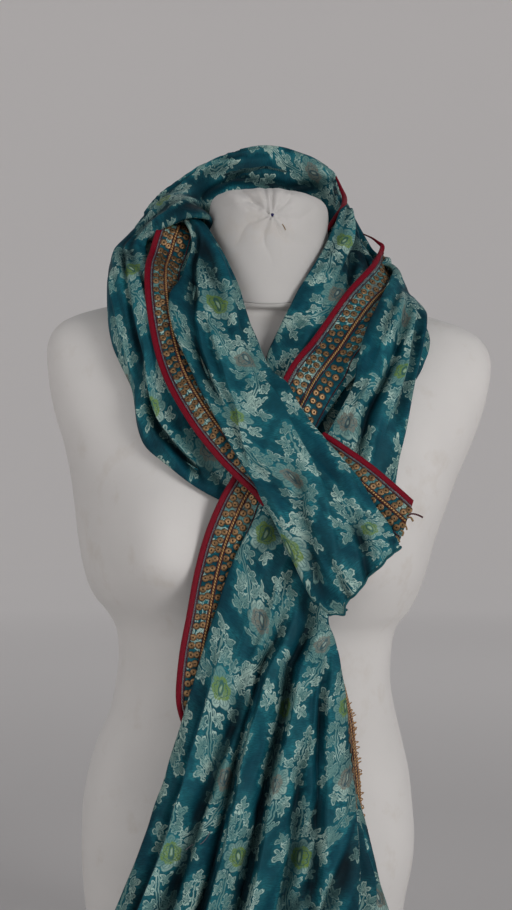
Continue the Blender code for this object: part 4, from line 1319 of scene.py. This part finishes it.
def gathers(spot):
    """How far the gathers of the cap stand out at each point."""
    out = np.zeros(len(spot))
    for x, z, far_x, far_z, depth, half_width in CAP_FOLDS:
        line = np.array((far_x - x, far_z - z))
        off = spot[:, [0, 2]] - (x, z)
        share = np.clip(off @ line / (line @ line), 0, 1)
        aside = np.linalg.norm(off - share[:, None] * line, axis=1)
        out += depth * np.exp(-(aside / half_width) ** 2)
    return out


class StoleSizes(bpy.types.PropertyGroup):
    """Sizes that a user may change."""
    cloth_step: bpy.props.FloatProperty(
        name="Cloth step", description="Distance between rows of points along a sheet",
        default=0.0026, min=0.001, max=0.01, unit="LENGTH")
    wrinkle_depth: bpy.props.FloatProperty(
        name="Wrinkle depth", description="Height of the small wrinkles in the silk",
        default=0.0017, min=0.0, max=0.004, unit="LENGTH")
    motif_width: bpy.props.FloatProperty(
        name="Motif width", description="Width of the woven repeat",
        default=0.085, min=0.03, max=0.2, unit="LENGTH")
    motif_rise: bpy.props.FloatProperty(
        name="Motif rise", description="Distance from one row of flowers to the next",
        default=0.0625, min=0.03, max=0.2, unit="LENGTH")
    piping_width: bpy.props.FloatProperty(
        name="Piping width", description="Width of the piping on the cut edge",
        default=0.0052, min=0.002, max=0.01, unit="LENGTH")
    piping_height: bpy.props.FloatProperty(
        name="Piping height", description="Thickness of the piping",
        default=0.0026, min=0.001, max=0.006, unit="LENGTH")
    cord_width: bpy.props.FloatProperty(
        name="Cord width", description="Thickness of the twisted gold cord",
        default=0.0019, min=0.0008, max=0.004, unit="LENGTH")
    thread_width: bpy.props.FloatProperty(
        name="Thread width", description="Thickness of the couched threads",
        default=0.0010, min=0.0004, max=0.002, unit="LENGTH")
    sequin_radius: bpy.props.FloatProperty(
        name="Sequin radius", description="Outer radius of a sequin",
        default=0.0031, min=0.001, max=0.005, unit="LENGTH")
    sequin_pitch: bpy.props.FloatProperty(
        name="Sequin pitch", description="Distance between sequins in one row",
        default=0.0080, min=0.003, max=0.02, unit="LENGTH")


def colour_property(name, description, colour):
    return bpy.props.FloatVectorProperty(name=name, description=description, size=3, min=0.0,
                                         max=1.0, subtype="COLOR", default=colour)


class StoleColours(bpy.types.PropertyGroup):
    """Colours that a user may change."""
    teal_deep: colour_property("Deep teal", "Open ground of the silk", linear(0, 70, 86))
    teal_hazy: colour_property("Hazy teal", "Ground close round the motifs",
                               linear(36, 120, 130))
    motif: colour_property("Motif", "Woven flowers and leaves", linear(104, 140, 134))
    motif_pale: colour_property("Pale motif", "The motif where its silk is brightest",
                                linear(176, 200, 188))
    heart_green: colour_property("Green heart", "Middle of every other flower",
                                 linear(104, 130, 44))
    heart_brown: colour_property("Brown heart", "Middle of the flowers between",
                                 linear(112, 108, 98))
    crimson: colour_property("Crimson", "Piping of the cut edges", linear(138, 5, 35))
    maroon: colour_property("Maroon", "Couched cords and border lines", linear(84, 16, 34))
    cord: colour_property("Gold cord", "Twisted cord of the border", linear(206, 160, 104))
    sequin: colour_property("Sequins", "Antique gold of the sequins", linear(168, 132, 92))
    cover: colour_property("Form cover", "Jersey over the dress form", linear(222, 219, 216))
    floor: colour_property("Ground", "Floor and backdrop", linear(214, 211, 210))


class StoleForm(bpy.types.Operator):
    """Models the covered torso and neck of the dress form."""
    bl_idname = "stole.form"
    bl_label = "Dress form"

    def execute(self, context):
        torso = closed_stack([form_ring(row) for row in eased_rows(TORSO_SECTIONS, FORM_RINGS)])
        neck = closed_stack(neck_points())
        for name, node, solid, look in (("covered_torso", "form_torso", torso, "cover"),
                                        ("covered_neck", "form_neck", neck, "neck")):
            made = add_piece(name, *solid, looks()[look], "white_cover")
            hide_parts(node)
        points, faces = [], []
        for solid_points, solid_faces in (torso, neck):
            shift = len(points)
            points += [tuple(p) for p in solid_points]
            faces += [tuple(i + shift for i in face) for face in solid_faces if len(face) == 4]
        Bench.form_tree = BVHTree.FromPolygons(points, faces)
        return {"FINISHED"}


def lay_sheet(name, below, first=None, last=None):
    sizes = bpy.context.scene.stole_sizes
    if name not in Bench.sheets:
        Bench.sheets[name] = Laid(name, sizes.cloth_step)
    laid = Bench.sheets[name]
    laid.lay(Bench.form_tree, [Bench.trees[other] for other in below], first, last)
    seed = 100 + 10 * list(SHEETS).index(name)
    Bench.grids[name] = laid.finish(sizes.wrinkle_depth, seed)
    Bench.trees[name] = tree_of(Bench.grids[name])


def lay_ply(name, below):
    rows, side = PLIES[name][:2]
    sizes = bpy.context.scene.stole_sizes
    length = np.linalg.norm(np.diff(np.array(rows)[:, 0], axis=0), axis=1).sum() * MM
    count = int(length / sizes.cloth_step) + 2
    grid = ply_grid(rows, count, side, sizes.piping_width / 2)
    coarse_rows = max(4, int(length / PUSH_STEP))
    picks = np.linspace(0, count - 1, coarse_rows).round().astype(int)
    columns = np.arange(0, PLY_COLUMNS, 3)
    columns = np.append(columns, PLY_COLUMNS - 1) if columns[-1] != PLY_COLUMNS - 1 else columns
    up = normals_of(grid)
    push = pushes(grid[picks][:, columns], up[picks][:, columns], Bench.form_tree,
                  [Bench.trees[other] for other in below])
    push = blurred(eased(largest_near(push, 1), 4))
    spread_rows = np.linspace(0, 1, count)[:, None] * np.ones((1, PLY_COLUMNS))
    spread_columns = np.interp(np.arange(PLY_COLUMNS), columns,
                               np.linspace(0, 1, len(columns)))[None, :] * np.ones((count, 1))
    run = np.linspace(0, length, count)[:, None] * np.ones((1, PLY_COLUMNS))
    small = noise(run / 0.028, spread_columns * 3, 300 + len(name)) * 0.5 * MM
    grid = grid + up * (resized(push, spread_rows, spread_columns) + small)[..., None]
    Bench.grids[name] = grid
    Bench.trees[name] = tree_of(grid)
    return run


class StoleCloth(bpy.types.Operator):
    """Lays every sheet and ply of the stole, lowest first."""
    bl_idname = "stole.cloth"
    bl_label = "Brocade cloth"

    def execute(self, context):
        look = looks()["brocade"]
        runs = {}
        lay_sheet("collar", [])
        lay_sheet("wrap", ["collar"], "loop foot", "shoulder top")
        runs["tail_back_ply"] = lay_ply("tail_back_ply", [])
        runs["fall_hem"] = lay_ply("fall_hem", ["collar", "wrap"])
        runs["tail_hem"] = lay_ply("tail_hem", ["collar", "wrap", "fall_hem"])
        lay_sheet("tail_return", [])
        lay_sheet("tail_pleat", ["tail_return"])
        below = ["collar", "fall_hem", "tail_hem", "tail_pleat"]
        lay_sheet("wrap", below, "right shoulder", "fall foot")
        lay_sheet("tail", below)
        runs["cross_hem"] = lay_ply("cross_hem", below + ["wrap", "tail"])
        runs["cross_end_ply"] = lay_ply("cross_end_ply", below + ["wrap", "tail", "cross_hem"])
        lay_sheet("cross", below + ["wrap", "tail", "cross_hem", "cross_end_ply"])
        lay_sheet("wrap", ["cross_hem", "cross"], "shoulder top", "right shoulder")
        for name, (_, _, _, _, anchor, upward, start_u, start_v) in SHEETS.items():
            laid = Bench.sheets[name]
            uv = weave_map(laid.grid, laid.run, anchor, upward, start_u, start_v)
            Bench.objects[name] = add_grid("silk_" + name, laid.grid, uv, look, "teal_brocade",
                                           laid.hollow)
        for name, (_, side, start_u, start_v) in PLIES.items():
            grid = Bench.grids[name]
            uv = weave_map(grid, runs[name], side, -1, start_u, start_v)
            Bench.objects[name] = add_grid("silk_" + name, grid, uv, look, "teal_brocade")
        return {"FINISHED"}


TRIM_LABELS = {"fall_hem": "fall", "tail_hem": "tail", "tail_back_ply": "back",
               "cross_hem": "cross", "cross_end_ply": "end"}


def add_tube(name, points, across, out, half_width, half_height, look, slot_name, sides=8):
    vertices, faces = tube_mesh(points, across, out, half_width, half_height, sides)
    run = np.concatenate([[0], np.cumsum(np.linalg.norm(np.diff(points, axis=0), axis=1))])
    turn = np.arange(sides) / sides
    uv = np.stack([np.tile(turn, len(points)), np.repeat(run, sides)], axis=1)
    return add_piece(name, vertices, faces, look, slot_name, uv)


class StolePiping(bpy.types.Operator):
    """Crimson piping along the cut edge of every ply."""
    bl_idname = "stole.piping"
    bl_label = "Crimson piping"

    def execute(self, context):
        sizes = context.scene.stole_sizes
        half = sizes.piping_width / 2
        for name, (_, side, _, _) in PLIES.items():
            points, inward, out = line_on(Bench.grids[name], side, -half, 0.3 * MM)
            label = TRIM_LABELS[name]
            shape, look = half, "crimson"
            if label == "back":
                places = np.arange(len(points))
                uneven = noise(places * WORN_BEAT, places * 0.0, WORN_SEED)
                shape, look = half * (WORN_WIDTH[0] + WORN_WIDTH[1] * uneven), "gold"
            made = add_tube("crimson_piping_" + label, points, inward, out, shape,
                            sizes.piping_height / 2, looks()[look], "crimson_piping", 12)
            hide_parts("piping_" + label)
            Bench.objects["piping_" + label] = made
        for label, table in (("arch", ARCH_TRIM), ("corner", CORNER_TRIM)):
            rows = through(np.array(table)[:, None, :], np.linspace(0, len(table) - 1, 40))
            points, widths = rows[:, 0, :3] * MM, rows[:, 0, 3] * MM
            ahead = unit(np.gradient(points, axis=0))
            across = unit(np.cross(ahead, (0.0, -1.0, 0.0)))
            add_tube("crimson_piping_" + label, points, across, np.cross(across, ahead),
                     widths / 2, np.minimum(widths, sizes.piping_height) / 2,
                     looks()["crimson"], "crimson_piping", 12)
        return {"FINISHED"}


def on_front(tree, place, lift):
    """The point of a sheet or of the form that shows at x and z from the front."""
    start = Vector((place[0] * MM, -0.5, place[-1] * MM))
    hit = tree.ray_cast(start, Vector((0.0, 1.0, 0.0)))[0]
    return np.array(hit) - np.array((0.0, lift, 0.0))


def add_thread(name, points, half, look, slot_name):
    points = np.array(points)
    rows = through(points[:, None, :], np.linspace(0, len(points) - 1, 6 * len(points)))[:, 0]
    ahead = unit(np.gradient(rows, axis=0))
    across = unit(np.cross(ahead, (0.0, -1.0, 0.0)))
    return add_tube(name, rows, across, np.cross(across, ahead), half, half, look, slot_name, 6)


def frayed_gold(piping_width):
    """Short loops of worn gold thread that stand out along the back ply's edge."""
    edge, inward, out = line_on(Bench.grids["tail_back_ply"], PLIES["tail_back_ply"][1],
                                -0.5 * piping_width, 0.4 * MM)
    random = np.random.default_rng(FRAY_SEED)
    vertices, faces, uv = [], [], []
    for place in np.linspace(*FRAY_SPAN, FRAY_LOOPS) * (len(edge) - 1):
        place = int(place)
        reach, drop, lift = random.uniform(FRAY_LEAST, FRAY_MOST) * MM
        aside = unit(np.array((1.6, 0.0, 0.0)) - inward[place])
        tip = edge[place] + aside * reach + out[place] * lift + (0.0, 0.0, drop)
        foot = edge[place] + aside * 0.3 * reach + (0.0, 0.0, drop - 1.6 * MM)
        rows = through(np.array((edge[place], tip, foot))[:, None, :], np.linspace(0, 2, 9))[:, 0]
        ahead = unit(np.gradient(rows, axis=0))
        across = unit(np.cross(ahead, out[place]))
        loop, loop_faces = tube_mesh(rows, across, np.cross(across, ahead), FRAY_HALF,
                                     FRAY_HALF, FRAY_SIDES)
        faces += [tuple(int(corner) + len(vertices) for corner in face) for face in loop_faces]
        vertices += loop
        uv += [(corner % FRAY_SIDES / FRAY_SIDES, corner // FRAY_SIDES * 0.5 * MM)
               for corner in range(len(loop))]
    return vertices, faces, np.array(uv)


class StoleThreads(bpy.types.Operator):
    """Rolled hems of the short ends, loose threads and the knot on the neck."""
    bl_idname = "stole.threads"
    bl_label = "Hems and loose threads"

    def execute(self, context):
        for name in ("cross", "tail", "tail_pleat", "tail_return"):
            end = 0 if name == "cross" else -1
            grid = Bench.grids[name]
            ahead = unit(grid[end] - grid[2 if end == 0 else -3])
            out = normals_of(grid)[end]
            made = add_tube("rolled_hem_" + name, grid[end] + out * 0.3 * MM, ahead, out,
                            1.1 * MM, 0.8 * MM, looks()["hem"], "teal_brocade", 8)
            Bench.objects["hem_" + name] = made
        for number, (width, line) in enumerate(LOOSE_THREADS):
            add_thread(f"loose_thread_{number}", np.array(line) * MM, width * MM / 2,
                       looks()["maroon" if number < 1 else "fray"], "gold_braid")
        vertices, faces, uv = frayed_gold(context.scene.stole_sizes.piping_width)
        add_piece("frayed_gold", vertices, faces, looks()["gold"], "gold_braid", uv)
        stray = [on_front(Bench.trees["tail"], place, 0.5 * MM) for place in STRAY_THREAD]
        add_thread("stray_thread", stray, 0.3 * MM, looks()["pale"], "white_cover")
        snag = [on_front(Bench.form_tree, place, 0.2 * MM) for place in SNAG]
        add_thread("snag", snag, 0.4 * MM, looks()["fray"], "white_cover")
        knot = on_front(Bench.form_tree, KNOT_PLACE, 0.0)
        bpy.ops.object.select_all(action="DESELECT")
        bpy.ops.mesh.primitive_uv_sphere_add(segments=16, ring_count=8, radius=1.6 * MM,
                                             location=knot)
        made = context.object
        made.name, made.data.name = "thread_knot", "thread_knot"
        bpy.ops.object.mode_set(mode="EDIT")
        bpy.ops.mesh.select_all(action="SELECT")
        bpy.ops.transform.resize(value=(1.1, 0.7, 0.9))
        bpy.ops.transform.vertex_random(offset=0.25 * MM, seed=4)
        bpy.ops.object.mode_set(mode="OBJECT")
        bpy.ops.object.transform_apply(location=True, rotation=True, scale=True)
        made.data.materials.append(looks()["dot"])
        bpy.ops.object.shade_smooth()
        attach(made, BODY)
        return {"FINISHED"}


class StoleCords(bpy.types.Operator):
    """Gold and maroon cords and the threads couched along the border."""
    bl_idname = "stole.cords"
    bl_label = "Cords and threads"

    def execute(self, context):
        sizes = context.scene.stole_sizes
        for name, (_, side, _, _) in PLIES.items():
            grid, label = Bench.grids[name], TRIM_LABELS[name]
            widths = edge_lines(grid, side)[1][:, -1]
            rows = (("pale_thread", BORDER_THREAD, sizes.thread_width, "pale", "white_cover"),
                    ("maroon_thread", BORDER_LINES[0], sizes.thread_width, "maroon",
                     "crimson_piping"),
                    ("inner_thread", BORDER_LINES[1], sizes.thread_width, "maroon",
                     "crimson_piping"),
                    ("couching_a", BORDER_COUCHING[0], sizes.thread_width, "maroon",
                     "crimson_piping"),
                    ("couching_b", BORDER_COUCHING[1], sizes.thread_width, "maroon",
                     "crimson_piping"),
                    ("gold_cord", BORDER_CORD, sizes.cord_width, "gold", "gold_braid"))
            for kind, place, width, look, slot_name in rows:
                place = place * BORDER_SPREAD.get(name, 1.0)
                half = width / 2
                keep = widths > place + 1.0 * MM
                if keep.sum() < 4:
                    continue
                points, inward, out = line_on(grid, side, place, half * 0.8)
                made = add_tube(f"{kind}_{label}", points[keep], inward[keep], out[keep], half,
                                half, looks()[look], slot_name, 8)
                if kind == "gold_cord":
                    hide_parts("braid_" + label)
                Bench.objects[f"{kind}_{label}"] = made
        return {"FINISHED"}


def round_shape(name, sides, levels, filling):
    """A round shape as by hand: a circle whose rim is extruded to each reach and height."""
    reach, height = levels[0]
    bpy.ops.object.select_all(action="DESELECT")
    bpy.ops.mesh.primitive_circle_add(vertices=sides, radius=reach, fill_type=filling)
    made = bpy.context.object
    made.name, made.data.name = name, name
    bpy.ops.object.mode_set(mode="EDIT")
    bpy.ops.mesh.select_all(action="SELECT")
    bpy.ops.transform.translate(value=(0.0, 0.0, height))
    for next_reach, next_height in levels[1:]:
        bpy.ops.mesh.extrude_edges_move(
            TRANSFORM_OT_translate={"value": (0.0, 0.0, next_height - height)})
        share = next_reach / reach
        bpy.ops.transform.resize(value=(share, share, 1.0))
        reach, height = next_reach, next_height
    bpy.ops.mesh.select_all(action="SELECT")
    bpy.ops.mesh.normals_make_consistent(inside=False)
    bpy.ops.object.mode_set(mode="OBJECT")
    return made


def sequin_shape(radius):
    """One cupped sequin: its points, faces and each point's share of the radius."""
    levels = [(reach * radius, height * MM) for reach, height in SEQUIN_LEVELS]
    made = round_shape("sequin", SEQUIN_SIDES, levels, "NOTHING")
    points = np.array([vertex.co for vertex in made.data.vertices])
    faces = np.array([face.vertices for face in made.data.polygons])
    normals = np.array([face.normal for face in made.data.polygons])
    faces = np.where(normals[:, 2:] < 0, faces[:, ::-1], faces)
    bpy.data.objects.remove(made)
    return points, faces, np.hypot(points[:, 0], points[:, 1]) / radius


class StoleSequins(bpy.types.Operator):
    """Rows of ringed sequins on both sides of the cord."""
    bl_idname = "stole.sequins"
    bl_label = "Sequins"

    def execute(self, context):
        sizes = context.scene.stole_sizes
        shape, shape_faces, reaches = sequin_shape(sizes.sequin_radius)
        for order, (name, (_, side, _, _)) in enumerate(PLIES.items()):
            grid, label = Bench.grids[name], TRIM_LABELS[name]
            rng = np.random.default_rng(500 + order)
            widths = edge_lines(grid, side)[1][:, -1]
            all_points, all_faces, count = [], [], 0
            for number, place in enumerate(BORDER_SEQUINS):
                place = place * BORDER_SPREAD.get(name, 1.0)
                points, inward, out = line_on(grid, side, place, 0.25 * MM)
                steps = np.linalg.norm(np.diff(points, axis=0), axis=1)
                run = np.concatenate([[0], np.cumsum(steps)])
                start = sizes.sequin_pitch * (0.3 + 0.5 * (number % 2))
                for at in np.arange(start, run[-1] - sizes.sequin_radius, sizes.sequin_pitch):
                    at = at + rng.uniform(-1.0, 1.0) * MM
                    aside = rng.uniform(-0.7, 0.7) * MM
                    spot = np.array([np.interp(at, run, points[:, k]) for k in range(3)])
                    if np.interp(at, run, widths) < place + 0.8 * sizes.sequin_radius:
                        continue
                    row = int(np.searchsorted(run, at).clip(1, len(run) - 1))
                    spot = spot + inward[row] * aside
                    up = out[row] + inward[row] * rng.uniform(-0.16, 0.16)
                    ahead = unit(points[row] - points[row - 1])
                    up = unit(up + ahead * rng.uniform(-0.16, 0.16))
                    side_on = unit(np.cross(up, ahead))
                    ahead = np.cross(side_on, up)
                    turned = (shape[:, :1] * ahead + shape[:, 1:2] * side_on
                              + shape[:, 2:] * up)
                    if np.dot(np.cross(ahead, side_on), up) < 0:
                        turned = (shape[:, :1] * ahead - shape[:, 1:2] * side_on
                                  + shape[:, 2:] * up)
                    all_points.append(spot + turned)
                    all_faces.append(shape_faces + count)
                    count += len(shape)
            if not all_points:
                continue
            uv = np.stack([np.tile(reaches, len(all_points)) * MM,
                           np.zeros(count)], axis=1)
            made = add_piece("sequins_" + label, np.concatenate(all_points),
                             np.concatenate(all_faces).tolist(), looks()["sequin"], "gold_braid",
                             uv)
            Bench.objects["sequins_" + label] = made
        return {"FINISHED"}


class StoleCut(bpy.types.Operator):
    """Hides the solids that the sheets and plies stand for; what each lies on is listed but not
    used.
    """
    bl_idname = "stole.cut"
    bl_label = "Cut sizes"

    def execute(self, context):
        stands_for = {"collar": ("loop_right",), "tail": ("tail_panel",),
                      "wrap": ("loop_left", "back_wrap_outer", "fall_panel"),
                      "cross": ("cross_panel", "back_wrap_inner")}
        for name, nodes in stands_for.items():
            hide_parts(*nodes)
        for name in PLIES:
            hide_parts(name)
        rests = {"collar": ["covered_torso", "covered_neck"],
                 "wrap": ["covered_torso", "silk_collar"],
                 "tail": ["covered_torso", "silk_tail_hem"],
                 "cross": ["silk_wrap", "silk_cross_hem"],
                 "fall_hem": ["silk_collar"], "tail_hem": ["covered_torso"],
                 "tail_back_ply": ["covered_torso"],
                 "tail_return": ["covered_torso"], "tail_pleat": ["silk_tail_return"],
                 "cross_hem": ["silk_wrap"],
                 "cross_end_ply": ["silk_tail"]}
        for name, rests_on in rests.items():
            label = TRIM_LABELS.get(name)
            goes_with = [piece for key, piece in Bench.objects.items()
                         if label and key.endswith("_" + label)]
        return {"FINISHED"}


class StoleStage(bpy.types.Operator):
    """Pale floor that curves up all round, soft studio lights and the camera."""
    bl_idname = "stole.stage"
    bl_label = "Stage, lights and camera"

    def execute(self, context):
        levels = [(0.05, 0.0), (3.0, 0.0), (FLOOR_REACH, 0.0)]
        for step in range(1, 13):
            turn = math.pi / 2 * step / 12
            levels.append((FLOOR_REACH + FLOOR_CURVE * math.sin(turn),
                           FLOOR_CURVE * (1 - math.cos(turn))))
        levels.append((FLOOR_REACH + FLOOR_CURVE, BACKDROP_HEIGHT))
        floor = round_shape("floor", 64, levels, "NGON")
        bpy.ops.object.shade_smooth()
        floor.data.materials.append(pale_ground(context.scene.stole_colours))

        world = bpy.data.worlds.new("studio")
        world.use_nodes = True
        world.node_tree.nodes["Background"].inputs["Color"].default_value = (*STUDIO_SKY, 1.0)
        world.node_tree.nodes["Background"].inputs["Strength"].default_value = SKY_STRENGTH
        context.scene.world = world
        for name, place, size, power in LAMPS:
            data = bpy.data.lights.new(name, "AREA")
            data.shape, data.size, data.energy = "DISK", size, power
            lamp = bpy.data.objects.new(name, data)
            lamp.location = place
            aim = Vector(LAMP_AIM) - Vector(place)
            lamp.rotation_euler = aim.to_track_quat("-Z", "Y").to_euler()
            context.scene.collection.objects.link(lamp)

        data = bpy.data.cameras.new("camera")
        data.lens, data.sensor_width = CAMERA_LENS, 36.0
        camera = bpy.data.objects.new("camera", data)
        camera.location = CAMERA_PLACE
        camera.rotation_euler = (math.pi / 2, 0.0, 0.0)
        context.scene.collection.objects.link(camera)
        context.scene.camera = camera
        context.scene.view_settings.view_transform = "Standard"
        return {"FINISHED"}


FLOOR_REACH = 7.0           # flat floor, metres from its middle
FLOOR_CURVE = 3.0           # radius of its curve up to the backdrop
BACKDROP_HEIGHT = 9.0
STUDIO_SKY = (0.92, 0.95, 1.0)
SKY_STRENGTH = 0.22
LAMP_AIM = (0.0, -0.05, 0.45)
# Lamps: name, place, diameter, power
LAMPS = (
    ("key", (1.8, -2.4, 0.95), 1.1, 38.0),
    ("fill", (-2.2, -2.2, 1.0), 2.0, 18.0),
    ("back", (0.6, 2.6, 2.2), 1.8, 7.0),
)
CAMERA_PLACE = (0.0081, -1.8, 0.4905)
CAMERA_LENS = 79.12

OPERATORS = (StoleStage, StoleForm, StoleCloth, StolePiping, StoleCords, StoleSequins,
             StoleThreads, StoleCut)


class StolePanel(bpy.types.Panel):
    """Lists the stole's pieces, sizes and colours."""
    bl_idname = "STOLE_PT_pieces"
    bl_label = "Dupatta stole"
    bl_space_type = "VIEW_3D"
    bl_region_type = "UI"
    bl_category = "Stole"

    def draw(self, context):
        for made in OPERATORS:
            self.layout.operator(made.bl_idname, text=made.bl_label)
        for group in (context.scene.stole_sizes, context.scene.stole_colours):
            box = self.layout.box()
            for name in group.bl_rna.properties.keys():
                if name not in ("rna_type", "name"):
                    box.prop(group, name)


CLASSES = (StoleSizes, StoleColours, *OPERATORS, StolePanel)


def register():
    for made in CLASSES:
        bpy.utils.register_class(made)
    bpy.types.Scene.stole_sizes = bpy.props.PointerProperty(type=StoleSizes)
    bpy.types.Scene.stole_colours = bpy.props.PointerProperty(type=StoleColours)


def unregister():
    del bpy.types.Scene.stole_colours
    del bpy.types.Scene.stole_sizes
    for made in reversed(CLASSES):
        bpy.utils.unregister_class(made)


def main():
    register()
    for made in OPERATORS:
        group, name = made.bl_idname.split(".")
        getattr(getattr(bpy.ops, group), name)()


if __name__ == "__main__":
    main()
